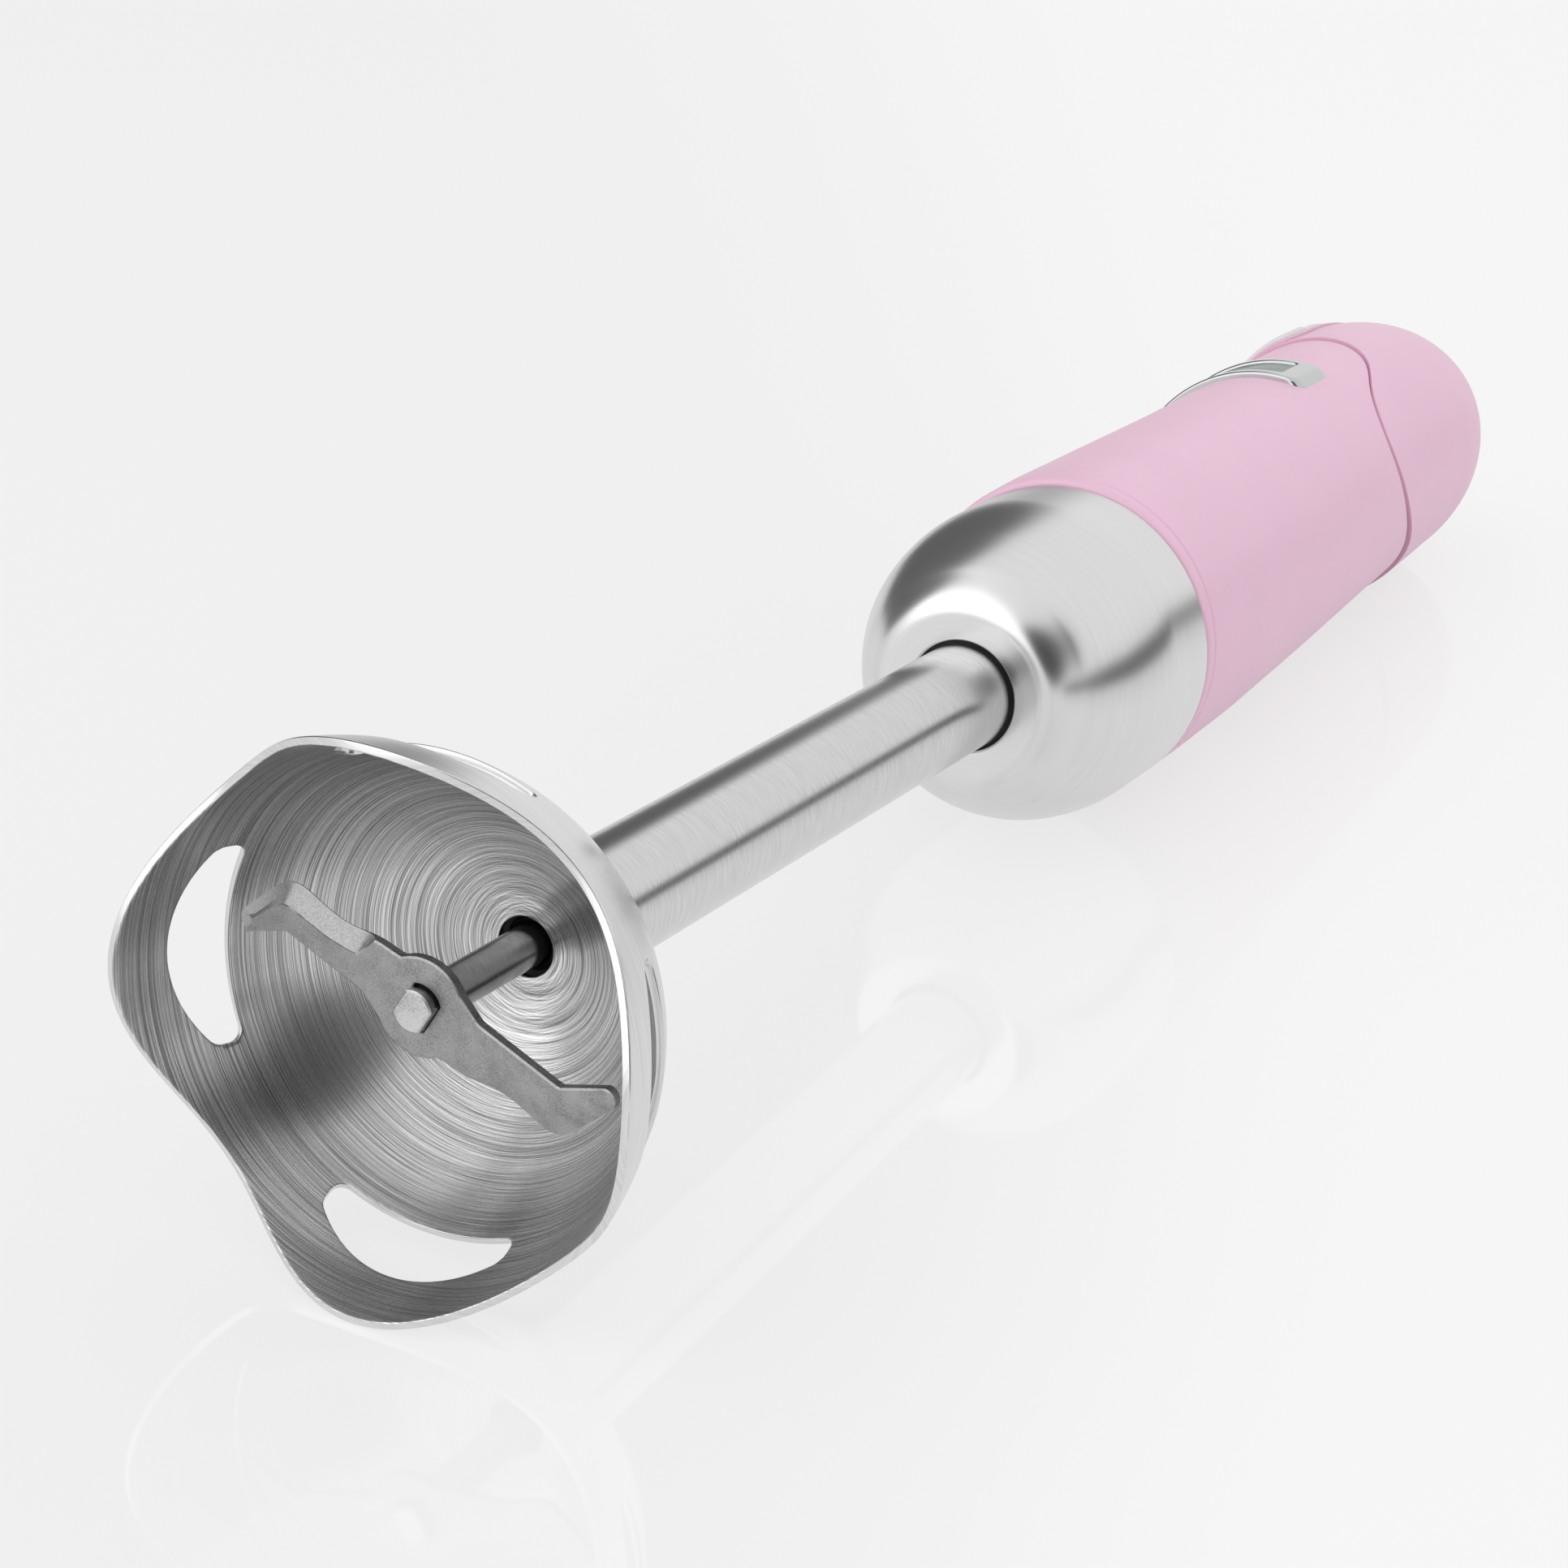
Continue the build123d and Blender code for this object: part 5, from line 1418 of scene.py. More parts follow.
    def blade(self, lie: Lie) -> None:
        """The blade: rings from the front border over the edge to the back, filled round its hole."""
        points, ground, rolled = self.outline()
        way = self.inwards(points)
        room = np.linalg.norm(way, axis=1)
        plain = (1 - ground) * (1 - rolled)

        def ring(inset: np.ndarray, height: np.ndarray) -> Loop:
            """One ring, moved inwards as far as there is room and to a height above the blade's front."""
            step = np.minimum(inset, self.most * room) / room
            return np.column_stack([points + way * step[:, None], height])

        g, q, p = ground, rolled, plain
        rings = [
            ring(self.ground_width * g * 1.55 + self.roll_width * q + 2.0 * self.edge * p, 0 * g),
            ring(self.ground_width * g * 1.02 + self.roll_width * 0.72 * q + 1.4 * self.edge * p,
                 0.11 * g + self.roll_depth * 0.08 * q),
            ring(self.ground_width * g * 0.98 + self.roll_width * 0.45 * q + 1.2 * self.edge * p,
                 0.13 * g + self.roll_depth * 0.3 * q + 0.02 * p),
            ring(self.ground_width * 0.5 * g + self.roll_width * 0.18 * q + 0.6 * self.edge * p,
                 (0.13 + self.ground_depth) / 2 * g + self.roll_depth * 0.68 * q + 0.5 * self.edge * p),
            ring(0 * g, self.ground_depth * g + self.roll_depth * q + self.edge * p),
            ring(0 * g, np.full(len(g), self.thickness - 0.08)),
            ring(np.full(len(g), 0.08), np.full(len(g), self.thickness)),
        ]
        piece = drawn("blade_wings", rings, fill=False)
        holes = []
        for height, inset in ((0.0, 0.12), (0.12, 0.0), (self.thickness, 0.0)):
            flats = self.flattened(self.hole + inset, self.hole_flats + inset, height)
            holes.append(turned(flats, -self.turn))
        core = drawn("blade_hole", holes, fill=False)
        pick(piece)
        core.select_set(True)
        bpy.ops.object.join()
        for height in (0.0, self.thickness):
            with editing(piece, "EDGE") as mesh:
                for edge in mesh.edges:
                    level = all(abs(vertex.co.z - height) < 1e-3 for vertex in edge.verts)
                    edge.select_set(edge.is_boundary and level)
                bpy.ops.mesh.fill(use_beauty=True)
        self.fold(piece)
        tidy_normals(piece)
        self.dress_blade(piece, lie)

    def fold(self, piece: bpy.types.Object) -> None:
        """Folds one wing down and the other up beside the hub, and turns the blade."""
        for side in (-1, 1):
            with editing(piece):
                bpy.ops.mesh.select_all(action="SELECT")
                bpy.ops.mesh.bisect(plane_co=(side * self.root, 0, 0), plane_no=(1, 0, 0))
        rows = corners(piece)
        beyond = np.maximum(np.abs(rows[:, 0]) - self.root, 0)
        rows[:, 2] -= np.sign(rows[:, 0]) * beyond * math.tan(math.radians(self.bend))
        put(piece, turned(rows, self.turn) + (0.0, 0.0, self.front))

    def dress_blade(self, piece: bpy.types.Object, lie: Lie) -> None:
        """Gives face, ground edge and wall their finishes by the way each face looks."""
        lean = face_normals(piece)[:, 2]
        middle = face_centres(piece)
        c, s = math.cos(math.radians(self.turn)), math.sin(math.radians(self.turn))
        along_wing = middle[:, 0] * c + middle[:, 1] * s
        kind = np.zeros(len(lean), np.int32)
        kind[(np.abs(lean) < 0.55)] = 2
        kind[(lean < -0.55) & (lean > np.where(along_wing < -self.hub, -0.955, -0.9))] = 1
        piece.data.polygons.foreach_set("material_index", kind)
        dressed(piece, lie, "blade_unit", ["blade"], [BLADE_FACE, BLADE_GROUND, BLADE_WALL],
                smooth=12, weighted=False)


# ---------------------------------------------------------------- handle
@dataclass(frozen=True)
class Handle:
    """Pink handle: lip, body and end cap that meet at a curved seam."""

    lip_foot: float = 158.3
    lip_round: float = 1.2
    shell: float = 2.4
    seam_round: float = 2.0      # asked for; the body gets about 0.8 and the cap none, see thicken
    seam_gap: float = 0.2
    dial_hole: float = 8.3

    def build(self, lie: Lie, keys: "Keys") -> None:
        """Makes the three pink shells."""
        self.lip(lie)
        self.body(lie)
        self.cap(lie, keys)

    def lip(self, lie: Lie) -> None:
        """The lip over the dome: rounded lower edge, fine line at the body."""
        form = body_form()
        angle = np.linspace(0, 2 * math.pi, 256, endpoint=False)
        rings = []
        for inner, height in ((self.shell, BODY_START - 0.05), (self.shell, self.lip_foot)):
            rings.append(form.ring(angle, np.full(256, height), -inner))
        for t in np.linspace(0, math.pi / 2, 8):
            height = self.lip_foot + self.lip_round * (1 - math.sin(t))
            rings.append(form.ring(angle, np.full(256, height), -self.lip_round * (1 - math.cos(t)) * 1.0))
        rings = rings[:2] + rings[2:][::-1]
        rings.append(form.ring(angle, np.full(256, BODY_START - 0.3)))
        rings.append(form.ring(angle, np.full(256, BODY_START - 0.05), -0.25))
        piece = drawn("lip", rings, fill=False, joined=True)
        dressed(piece, lie, "handle", ["trim_lip"], [PINK_ABS], smooth=35)

    def body(self, lie: Lie) -> None:
        """The body: a sheet up to the seam, with its wall and slightly rounded edges."""
        form = body_form()

        def place(across: np.ndarray, level: np.ndarray) -> np.ndarray:
            """Place on the body from the share round it and the share of its height."""
            angle = 2 * math.pi * across
            top = seam_height(form, angle) - self.seam_gap
            return form.ring(angle, BODY_START + 0.05 + (top - BODY_START - 0.05) * level)

        piece = sheet("handle_shell", 288, 60, place, closed=True)
        face_out(piece, Vector((0, 0, 200)))
        thicken(piece, self.shell, self.seam_round, segments=5)
        dressed(piece, lie, "handle", ["handle_body"], [PINK_ABS], smooth=35)

    def cap(self, lie: Lie, keys: "Keys") -> None:
        """The end cap: a sheet from the seam over the rounded end to the dial's hole, with its wall."""
        form = cap_form()

        def place(across: np.ndarray, level: np.ndarray) -> np.ndarray:
            """Place on the cap from the share round it and the share from seam to dial."""
            angle = 2 * math.pi * across
            foot = seam_height(form, angle) + self.seam_gap
            wall = CAP_TOP - foot
            flat = form.radius(np.array(CAP_TOP)) - self.dial_hole
            edge = 0.86
            height = foot + wall * np.minimum(level / edge, 1.0) ** 0.9
            out = -flat * np.maximum(level - edge, 0) / (1 - edge)
            return form.ring(angle, np.minimum(height, CAP_TOP), out)

        piece = sheet("cap_shell", 288, 52, place, closed=True)
        cut(piece, form, Window(keys.bezel_outline()))
        face_out(piece, Vector((CAP_MIDDLE, 0, 300)))
        thicken(piece, self.shell, self.seam_round, segments=5, angle=50)
        dressed(piece, lie, "handle", ["end_cap"], [PINK_ABS], smooth=35)


# ---------------------------------------------------------------- name plate
@dataclass(frozen=True)
class NamePlate:
    """Chrome band round a grey-green panel that is left bare."""

    bottom: float = BODY_START + 88.5
    height: float = 14.0
    half: float = 21.0
    proud: float = 1.1
    band: float = 2.6
    corner: float = 1.6
    edge: float = 0.5            # rounding of the band's two edges
    sunk: float = 0.6
    panel: float = 0.16          # how far the panel stands outside the handle

    def outline(self, inset: float) -> Loop:
        """Rounded outline, moved inwards."""
        corner = max(self.corner - 0.35 * inset, 0.5)
        return box_loop(self.half - inset, self.bottom + inset, self.bottom + self.height - inset, corner)

    def build(self, lie: Lie) -> None:
        """Makes the band and the panel."""
        form = body_form()
        turns = np.linspace(0, math.pi / 2, 6)
        r = self.edge
        profile = [(0.0, -self.sunk), (0.0, self.proud - r)]
        profile += [(r - r * math.cos(t), self.proud - r + r * math.sin(t)) for t in turns[1:]]
        profile += [(self.band - r + r * math.sin(t), self.proud - r + r * math.cos(t)) for t in turns]
        profile += [(self.band, -self.sunk)]
        rings = []
        for inset, out in profile:
            flat = self.outline(inset)
            rings.append(form.front(flat[:, 0], flat[:, 1], out))
        band = drawn("badge_band", rings, fill=False, joined=True)
        dressed(band, lie, "handle", ["nameplate_frame"], [CHROME], smooth=40)
        place = patch(form, self.outline(self.band - 1.0), self.panel)
        panel = sheet("badge_panel", 120, 40, place, closed=False)
        cut(panel, form, Window(self.outline(self.band - 0.15)), out=self.panel, keep=True)
        face_out(panel, Vector((0, 0, self.bottom)))
        thicken(panel, self.sunk + self.panel, 0.12, segments=2)
        dressed(panel, lie, "handle", ["nameplate"], [PLATE_PANEL], smooth=40)


def patch(form: RoundForm, outline: Loop, out: float) -> Callable[[np.ndarray, np.ndarray], np.ndarray]:
    """Place on a form's front inside an outline's box, as a sheet wants it."""
    low, high = outline.min(axis=0), outline.max(axis=0)

    def place(across: np.ndarray, level: np.ndarray) -> np.ndarray:
        """Place from the two shares."""
        flat = low + (high - low) * np.column_stack([across, level])
        return form.front(flat[:, 0], flat[:, 1], out)

    return place


# ---------------------------------------------------------------- keys
@dataclass(frozen=True)
class Keys:
    """Bezel with two press keys."""

    bezel_bottom: float = BODY_START + 131.5
    bezel_height: float = 32.0
    bezel_half: float = 9.0
    bezel_corner: float = 4.0
    bezel_proud: float = 0.6
    key_half: float = 6.4
    key_height: float = 12.0
    key_corner: float = 2.6
    key_proud: float = 1.5
    key_shoulder: float = 0.8
    margin: float = 3.0
    gap: float = 0.3

    def bezel_outline(self) -> Loop:
        """Outline of the bezel."""
        low = self.bezel_bottom
        return box_loop(self.bezel_half, low, low + self.bezel_height, self.bezel_corner)

    def key_outline(self, index: int, grow: float = 0.0) -> Loop:
        """Outline of one key, grown outwards."""
        spacing = self.bezel_height - 2 * self.margin - self.key_height
        low = self.bezel_bottom + self.margin + index * spacing
        corner = max(self.key_corner + grow, 0.25)
        return box_loop(self.key_half + grow, low - grow, low + self.key_height + grow, corner, 16, 16)

    def build(self, lie: Lie) -> None:
        """Makes the bezel and both keys."""
        form = cap_form()
        low, high = self.bezel_bottom - 1.5, self.bezel_bottom + self.bezel_height + 1.5
        room = box_loop(self.bezel_half + 1.5, low, high, 1.0)
        bezel = sheet("bezel", 50, 80, patch(form, room, self.bezel_proud), closed=False)
        cut(bezel, form, Window(self.bezel_outline()), out=self.bezel_proud, keep=True)
        for index in range(2):
            cut(bezel, form, Window(self.key_outline(index, self.gap)), out=self.bezel_proud)
        face_out(bezel, Vector((0, 0, 308)))
        thicken(bezel, 3.0, 0.35, segments=3)
        dressed(bezel, lie, "handle", ["button_bezel"], [PINK_ABS], smooth=40)
        for index, name in enumerate(("power", "turbo")):
            self.key(lie, form, index, name)

    def key(self, lie: Lie, form: RoundForm, index: int, name: str) -> None:
        """One key: flange, straight sides, rounded shoulder and a face with a shallow dish."""
        proud, shoulder = self.key_proud, self.key_shoulder
        levels = [(0.6, -4.0), (0.6, -3.3), (0.0, -3.3), (0.0, proud - shoulder)]
        levels += [(-shoulder * (1 - math.cos(t)), proud - shoulder + shoulder * math.sin(t))
                   for t in np.linspace(0.15, math.pi / 2, 7)]
        levels += [(-1.4, proud - 0.04), (-2.4, proud - 0.2), (-3.6, proud - 0.33), (-4.8, proud - 0.39),
                   (-5.7, proud - 0.4)]
        rings = []
        for grow, out in levels:
            flat = self.key_outline(index, grow)
            rings.append(form.front(flat[:, 0], flat[:, 1], out))
        piece = drawn(f"{name}_key_cap", rings)
        dressed(piece, lie, f"{name}_key", [f"{name}_button"], [KEY_RUBBER], smooth=50)


# ---------------------------------------------------------------- speed dial and cord gland
@dataclass(frozen=True)
class DialEnd:
    """Grooved speed dial and the gland that a cord would leave through."""

    radius: float = 11.6
    height: float = 6.7
    rest: float = 0.3
    skirt: float = 8.0
    skirt_foot: float = CAP_TOP - 4.3
    bore: float = 6.2
    grips: int = 24
    grip_radius: float = 0.55
    round_over: float = 1.4
    gland_radius: float = 5.9
    gland_bore: float = 3.3
    gland_rise: float = 12.5
    bridge_top: float = CAP_TOP - 9.9
    bridge: float = 2.6
    flange: float = 8.6
    flange_height: float = 2.4

    def build(self, lie: Lie) -> None:
        """Makes the dial and the gland."""
        self.dial(lie)
        self.gland(lie)

    def grooved(self, radius: float, height: float, depth: float) -> Loop:
        """Ring of the dial with its finger grooves."""
        count = self.grips * 14
        angle = np.linspace(0, 2 * math.pi, count, endpoint=False)
        pitch = 2 * math.pi / self.grips
        off = ((angle + pitch / 2) % pitch - pitch / 2) * radius
        groove = np.sqrt(np.maximum(self.grip_radius**2 - off**2, 0))
        size = radius - depth * groove
        x, y = CAP_MIDDLE + size * np.cos(angle), size * np.sin(angle)
        return np.column_stack([x, y, np.full(count, height)])

    def dial(self, lie: Lie) -> None:
        """The dial: skirt, grooved rim, rounded shoulder, dished face and bore."""
        foot, top = CAP_TOP + self.rest, CAP_TOP + self.height
        rings = [self.grooved(self.bore, self.skirt_foot, 0), self.grooved(self.skirt, self.skirt_foot, 0),
                 self.grooved(self.skirt, foot, 0), self.grooved(self.radius - 0.3, foot, 0.8),
                 self.grooved(self.radius, foot + 0.3, 1.0),
                 self.grooved(self.radius, top - self.round_over, 1.0)]
        for t in np.linspace(0.2, math.pi / 2, 7):
            rings.append(self.grooved(self.radius - self.round_over * (1 - math.cos(t)),
                                      top - self.round_over * (1 - math.sin(t)), 1 - math.sin(t)))
        rings += [self.grooved(9.2, top - 0.25, 0), self.grooved(8.4, top - 0.4, 0),
                  self.grooved(self.bore + 0.3, top - 0.4, 0), self.grooved(self.bore, top - 0.7, 0)]
        piece = drawn("dial_knob", rings, fill=False, joined=True)
        dressed(piece, lie, "dial", ["speed_dial"], [DIAL_ABS], smooth=35)

    def gland(self, lie: Lie) -> None:
        """The gland: flange on its bridge, ribbed sleeve and a rounded mouth."""
        foot, top = self.bridge_top - self.bridge, CAP_TOP + self.gland_rise
        r, b = self.gland_radius, self.gland_bore
        seat = self.bridge_top
        flange_top = seat + self.flange_height
        outline = [(b, foot), (r, foot), (r, seat), (self.flange, seat),
                   (self.flange, flange_top), (r, flange_top)]
        ribs = np.linspace(CAP_TOP + self.height + 0.6, top - 1.6, 28)
        outline += [(r - 0.22 * (0.5 - 0.5 * math.cos(2 * math.pi * i / 9)), z) for i, z in enumerate(ribs)]
        outline += [(r - 0.9 + 0.9 * math.cos(t), top - 0.9 + 0.9 * math.sin(t))
                    for t in np.linspace(0, math.pi / 2, 6)]
        outline += [(b + 0.8 - 0.8 * math.sin(t), top - 0.8 + 0.8 * math.cos(t))
                    for t in np.linspace(0, math.pi / 2, 6)]
        piece = spun("gland_sleeve", np.array(outline), 128, centre=CAP_MIDDLE)
        dressed(piece, lie, "handle", ["cord_gland"], [GLAND_PVC], smooth=40)


# ---------------------------------------------------------------- what is inside
WHITE_ACETAL = Moulded("white_moulded_acetal", "#DCDCD8", 0.42)
WHITE_NYLON = Moulded("white_moulded_nylon", "#E3E2DC", 0.45)
GREY_NYLON = Moulded("light_grey_moulded_nylon", "#CDCDCB", 0.45)
DARK_NYLON = Moulded(
    "dark_grey_glass_filled_nylon", "#3C3E40", 0.55, texture=0.6, relief=0.25, variation=0.12
)
BLACK_NYLON = Moulded("black_glass_filled_nylon", "#202020", 0.5, texture=0.6, relief=0.25, variation=0.12)
RED_NYLON = Moulded("red_moulded_nylon", "#B82A22", 0.4)
BLACK_RUBBER = Moulded("black_moulded_rubber", "#141414", 0.6, texture=0.5, relief=0.3)
YELLOW_CASE = Moulded("yellow_film_capacitor_case", "#D6AE22", 0.3)
CARBON = Moulded("pressed_carbon", "#1C1C1D", 0.55, texture=0.25, relief=0.3, variation=0.2)
TRACK_BOARD = Moulded("printed_carbon_track_board", "#4C5634", 0.45, texture=0.4, relief=0.15, variation=0.1)
PLATED_SCREW = Plated("zinc_plated_steel_screw", "#BDC0C4", 0.22)
SPRING_STEEL = Plated("blued_spring_steel_strip", "#6B6D73", 0.3)
SPRING_WIRE = Plated("drawn_spring_steel_wire", "#A6A7AA", 0.25)
BRASS = Plated("pressed_brass_sheet", "#C9A24E", 0.28)
SPRING_BRONZE = Plated("pressed_spring_bronze_strip", "#BE8F4A", 0.25)
ROTOR_STEEL = TurnedSteel(
    "ground_steel_motor_shaft", "#B4B4B6", 0.2, dark="#8A8A8C", contrast=0.4, spread=0.4
)
SINTERED_BRONZE = BlastedSteel("oil_filled_sintered_bronze", "#B58A52", 0.45, speck=0.3)
COPPER_BARS = Layered("turned_copper_commutator_bars", "#C48A62", 0.25, pitch=0.6, metallic=1.0, relief=0.15)
CORE_SHEETS = Layered(
    "stacked_electrical_steel_sheets", "#6A6C70", 0.4, pitch=0.5, metallic=1.0, gap="#26272A"
)
FIELD_WIRE = Layered("enamelled_copper_field_wire", "#9C4A22", 0.28, pitch=0.55, metallic=0.6, gap="#34160A")
ROTOR_WIRE = Layered(
    "enamelled_copper_armature_wire", "#A04E26", 0.28, pitch=0.45, metallic=0.6, gap="#34160A"
)
CHOKE_WIRE = Layered("copper_wire_on_ferrite_rod", "#8E4424", 0.3, pitch=0.8, metallic=0.6, gap="#2A140C")
BOARD = Layered(
    "tan_paper_laminate_board", "#A3814A", 0.5, pitch=1.1, across=(1.0, 0.0, 0.0), gap="#7E6033", relief=0.1
)

INNER_FINISHES: dict[str, Finish] = {
    "power_switch": BLACK_NYLON, "turbo_switch": BLACK_NYLON, "switch_board": BOARD,
    "coupling_socket": GREY_NYLON, "damping_ring_front": BLACK_RUBBER, "damping_ring_rear": BLACK_RUBBER,
    "front_bracket": BLACK_NYLON, "rear_bracket": BLACK_NYLON, "front_bearing": SINTERED_BRONZE,
    "rear_bearing": SINTERED_BRONZE, "motor_screws": PLATED_SCREW, "stator_core": CORE_SHEETS,
    "field_coils": FIELD_WIRE, "brush_holders": BRASS, "carbon_brushes": CARBON, "brush_springs": SPRING_WIRE,
    "power_board": BOARD, "capacitor": YELLOW_CASE, "choke_coils": CHOKE_WIRE, "gland_bridge": WHITE_NYLON,
    "cord_clamp": BLACK_NYLON, "terminal_block": WHITE_NYLON, "speed_track": TRACK_BOARD,
    "armature_core": CORE_SHEETS, "armature_windings": ROTOR_WIRE, "commutator": COPPER_BARS,
    "motor_shaft": ROTOR_STEEL, "cooling_fan": BLACK_NYLON, "drive_coupler": RED_NYLON,
    "lower_carrier": WHITE_ACETAL, "upper_carrier": WHITE_ACETAL, "lower_bush": SINTERED_BRONZE,
    "upper_bush": SINTERED_BRONZE, "tube_seal": BLACK_RUBBER, "shaft_insert": DARK_NYLON,
    "retaining_clips": SPRING_STEEL, "driven_coupler": WHITE_NYLON, "power_plunger": DARK_NYLON,
    "turbo_plunger": DARK_NYLON, "dial_retainer": WHITE_NYLON, "dial_wiper": SPRING_BRONZE,
}


@dataclass(frozen=True)
class InnerWorks:
    """The motor, the drive and the controls, kept as they were made in CAD."""

    finishes: dict[str, Finish]

    def build(self, lie: Lie, nodes: dict[str, bpy.types.Object], slots: dict[str, str]) -> None:
        """Dresses every CAD node that is still shown.

        Args:
            lie: How the blender lies.
            nodes: The CAD nodes.
            slots: The record's slot of each node; not used.
        """
        for name, finish in self.finishes.items():
            node = nodes[name]
            node.data.materials.clear()
            node.data.materials.append(finish.build(lie))
            LOG.info("%s: dressed as %s", name, finish.name)


# ---------------------------------------------------------------- studio
class PanelKind(Enum):
    """What a panel in the studio does."""

    LAMP = "lights the blender and the table"
    WHITE_CARD = "brightens a reflection in the metal"
    DARK_CARD = "darkens a reflection in the metal"


@dataclass(frozen=True)
class Panel:
    """Lamp or card that faces the blender from a direction, with its size and its level.

    The azimuth is in degrees from the side the bell opens to, towards the right, and the
    level is watts for a lamp and a linear value for a card.
    """

    name: str
    kind: PanelKind
    azimuth: float
    elevation: float
    size: tuple[float, float]
    level: float
    distance: float = 1.7

    def build(self) -> None:
        """Adds the lamp, or the card, which the camera and matte surfaces don't see."""
        a, e = math.radians(self.azimuth), math.radians(self.elevation)
        way = Vector((math.sin(a) * math.cos(e), -math.cos(a) * math.cos(e), math.sin(e)))
        turn = way.to_track_quat("Z", "Y").to_euler()
        deselect()
        if self.kind is PanelKind.LAMP:
            bpy.ops.object.light_add(type="AREA", location=way * self.distance, rotation=turn)
            lamp = bpy.context.active_object
            lamp.data.shape = "RECTANGLE"
            lamp.data.size, lamp.data.size_y = self.size
            lamp.data.energy = self.level
            lamp.visible_glossy = False
        else:
            bpy.ops.mesh.primitive_plane_add(size=1, location=way * self.distance, rotation=turn)
            lamp = bpy.context.active_object
            lamp.scale = (*self.size, 1.0)
            lamp.visible_camera = lamp.visible_diffuse = lamp.visible_shadow = False
            lamp.data.materials.append(glowing(f"studio_card_{self.name}", self.level))
        lamp.name = self.name


def glowing(name: str, level: float) -> bpy.types.Material:
    """Even grey light for cards, which fades out towards the card's rim."""
    material = bpy.data.materials.new(name)
    tree = empty_tree(material)
    here = add_node(tree, "ShaderNodeTexCoord")
    reach = add_node(tree, "ShaderNodeVectorMath", {0: here.outputs["Object"]}, operation="LENGTH")
    fade = add_node(
        tree, "ShaderNodeMapRange",
        {"Value": reach.outputs["Value"], "From Min": 0.3, "From Max": 0.5, "To Min": 0.0, "To Max": 1.0},
        interpolation_type="SMOOTHSTEP",
    )
    light = add_node(tree, "ShaderNodeEmission", {"Color": (level, level, level, 1.0), "Strength": 1.0})
    clear = add_node(tree, "ShaderNodeBsdfTransparent")
    both = add_node(
        tree, "ShaderNodeMixShader", {0: fade.outputs[0], 1: light.outputs[0], 2: clear.outputs[0]}
    )
    add_node(tree, "ShaderNodeOutputMaterial", {"Surface": both.outputs[0]})
    return material


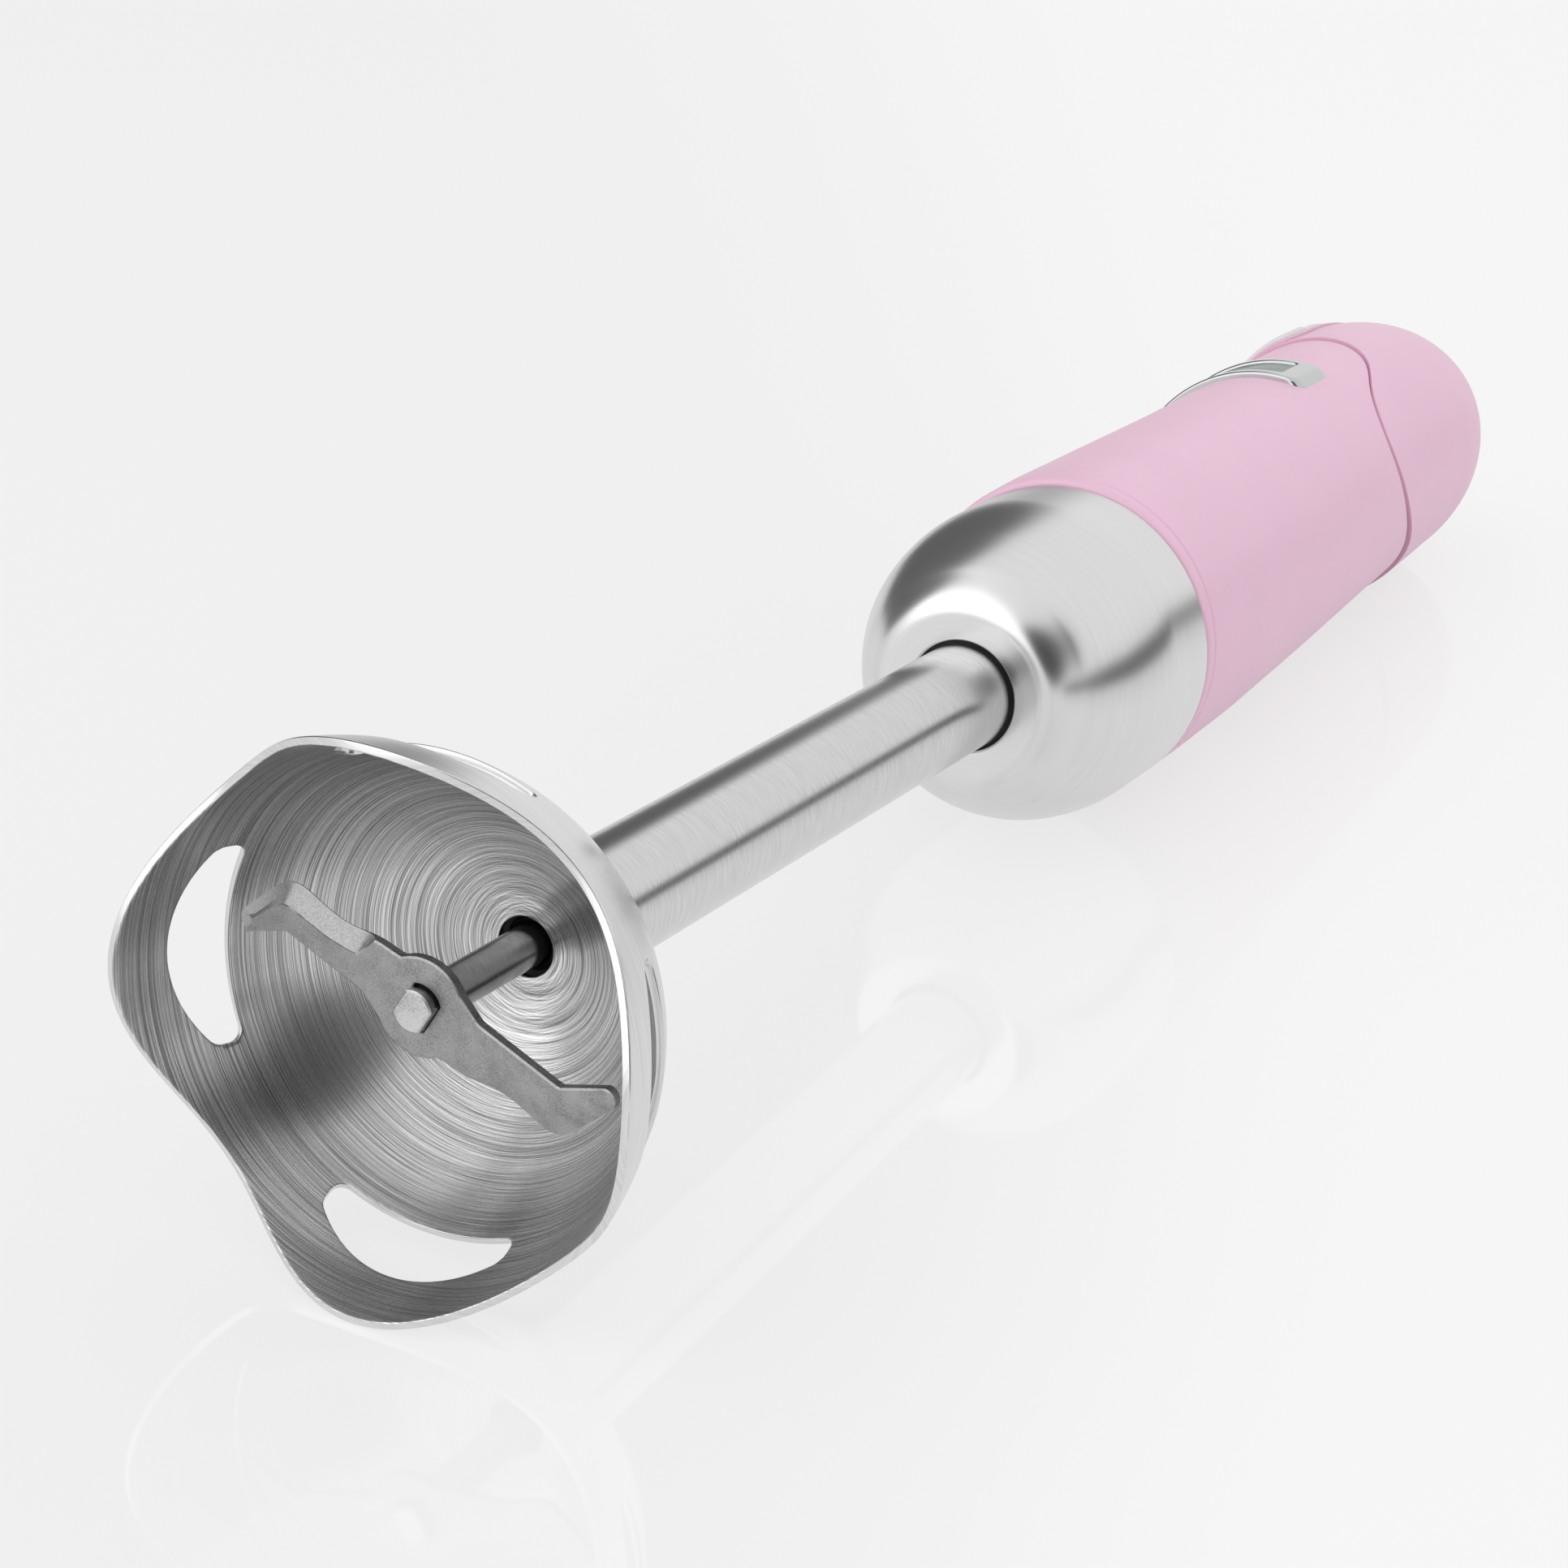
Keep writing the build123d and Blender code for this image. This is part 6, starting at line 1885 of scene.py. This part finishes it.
@dataclass(frozen=True)
class Studio:
    """White table, pale room, a soft lamp, cards and the camera."""

    floor: float = 0.82          # linear reflectance of the table
    backdrop: float = 0.94       # linear level of the even background
    even: float = 0.8            # share of the even background in the table
    gloss: float = 0.06          # share of the mirror image
    room: float = 0.96           # linear level of the room
    lens: float = 75.47
    camera_place: tuple[float, float, float] = (0.19196, -0.45826, 0.20309)
    camera_right: tuple[float, float, float] = (0.87571, 0.480438, 0.048145)
    camera_up: tuple[float, float, float] = (-0.2218, 0.311697, 0.923931)
    camera_back: tuple[float, float, float] = (0.42888, -0.819773, 0.379517)
    panels: tuple[Panel, ...] = (
        Panel("key", PanelKind.LAMP, -30.0, 45.0, (1.6, 1.2), 4.0),
        Panel("bright_front_left", PanelKind.WHITE_CARD, -30.0, 34.0, (3.6, 2.6), 1.6),
        Panel("dark_left", PanelKind.DARK_CARD, -117.0, 24.0, (3.4, 3.0), 0.13),
        Panel("dark_camera_side", PanelKind.DARK_CARD, 43.0, 28.0, (0.66, 0.62), 0.05, 0.62),
        Panel("dark_right", PanelKind.DARK_CARD, 110.0, 5.0, (2.4, 0.26), 0.06, 0.8),
    )

    def build(self) -> None:
        """Sets up the table, the room, the lamp, the cards and the camera."""
        self.table()
        self.room_light()
        for panel in self.panels:
            panel.build()
        self.camera()

    def table(self) -> None:
        """Large white table with a faint gloss; most of what is seen of it is an even background."""
        deselect()
        bpy.ops.mesh.primitive_plane_add(size=12, location=(0, 0, 0))
        table = bpy.context.active_object
        table.name = "table"
        material = bpy.data.materials.new("white_laminate_table")
        tree = empty_tree(material)
        white = (self.floor, self.floor, self.floor, 1.0)
        laminate = add_node(
            tree, "ShaderNodeBsdfPrincipled",
            {"Base Color": white, "Roughness": 0.7, "Specular IOR Level": 0.1},
        )
        polish = add_node(tree, "ShaderNodeBsdfGlossy", {"Color": (1.0, 1.0, 1.0, 1.0), "Roughness": 0.04})
        level = self.backdrop
        even = add_node(tree, "ShaderNodeEmission", {"Color": (level, level, level, 1.0), "Strength": 1.0})
        ray = add_node(tree, "ShaderNodeLightPath")
        seen = maths(tree, "MAXIMUM", ray.outputs["Is Camera Ray"], ray.outputs["Is Glossy Ray"])
        seen = maths(tree, "MAXIMUM", seen, ray.outputs["Is Transmission Ray"])
        share = maths(tree, "MULTIPLY", seen, self.even)
        both = add_node(tree, "ShaderNodeMixShader", {0: share, 1: laminate.outputs[0], 2: even.outputs[0]})
        polished = add_node(
            tree, "ShaderNodeMixShader", {0: self.gloss, 1: both.outputs[0], 2: polish.outputs[0]}
        )
        add_node(tree, "ShaderNodeOutputMaterial", {"Surface": polished.outputs[0]})
        table.data.materials.append(material)

    def room_light(self) -> None:
        """Even pale light from all round, seen at the level of the background."""
        world = bpy.data.worlds.new("pale_room")
        bpy.context.scene.world = world
        tree = empty_tree(world)
        ray = add_node(tree, "ShaderNodeLightPath")
        level = add_node(
            tree, "ShaderNodeMapRange",
            {"Value": ray.outputs["Is Camera Ray"], "To Min": self.room, "To Max": self.backdrop},
        )
        light = add_node(
            tree, "ShaderNodeBackground", {"Color": (1.0, 1.0, 1.0, 1.0), "Strength": level.outputs[0]}
        )
        add_node(tree, "ShaderNodeOutputWorld", {"Surface": light.outputs[0]})

    def camera(self) -> None:
        """The camera, without blur."""
        deselect()
        bpy.ops.object.camera_add()
        camera = bpy.context.active_object
        camera.name = "camera"
        camera.matrix_world = Matrix.Translation(self.camera_place) @ Matrix(
            (self.camera_right, self.camera_up, self.camera_back)).transposed().to_4x4()
        camera.data.lens = self.lens
        camera.data.sensor_width = 36.0
        camera.data.clip_start = 0.01
        bpy.context.scene.camera = camera
        bpy.context.scene.view_settings.view_transform = "Standard"


def main() -> None:
    """Builds the blender piece by piece and the studio round it."""
    logging.basicConfig(level=logging.INFO, format="%(name)s: %(message)s")
    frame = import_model()
    lie = Lie.from_frame(frame)
    slots = {part["node"]: part["material_slot"] for part in frame["record"]["subparts"]}
    keys = Keys()
    BlendingFoot().build(lie)
    BladeSet().build(lie)
    Handle().build(lie, keys)
    NamePlate().build(lie)
    keys.build(lie)
    DialEnd().build(lie)
    InnerWorks(INNER_FINISHES).build(lie, frame["nodes"], slots)
    Studio().build()


if __name__ == "__main__":
    main()
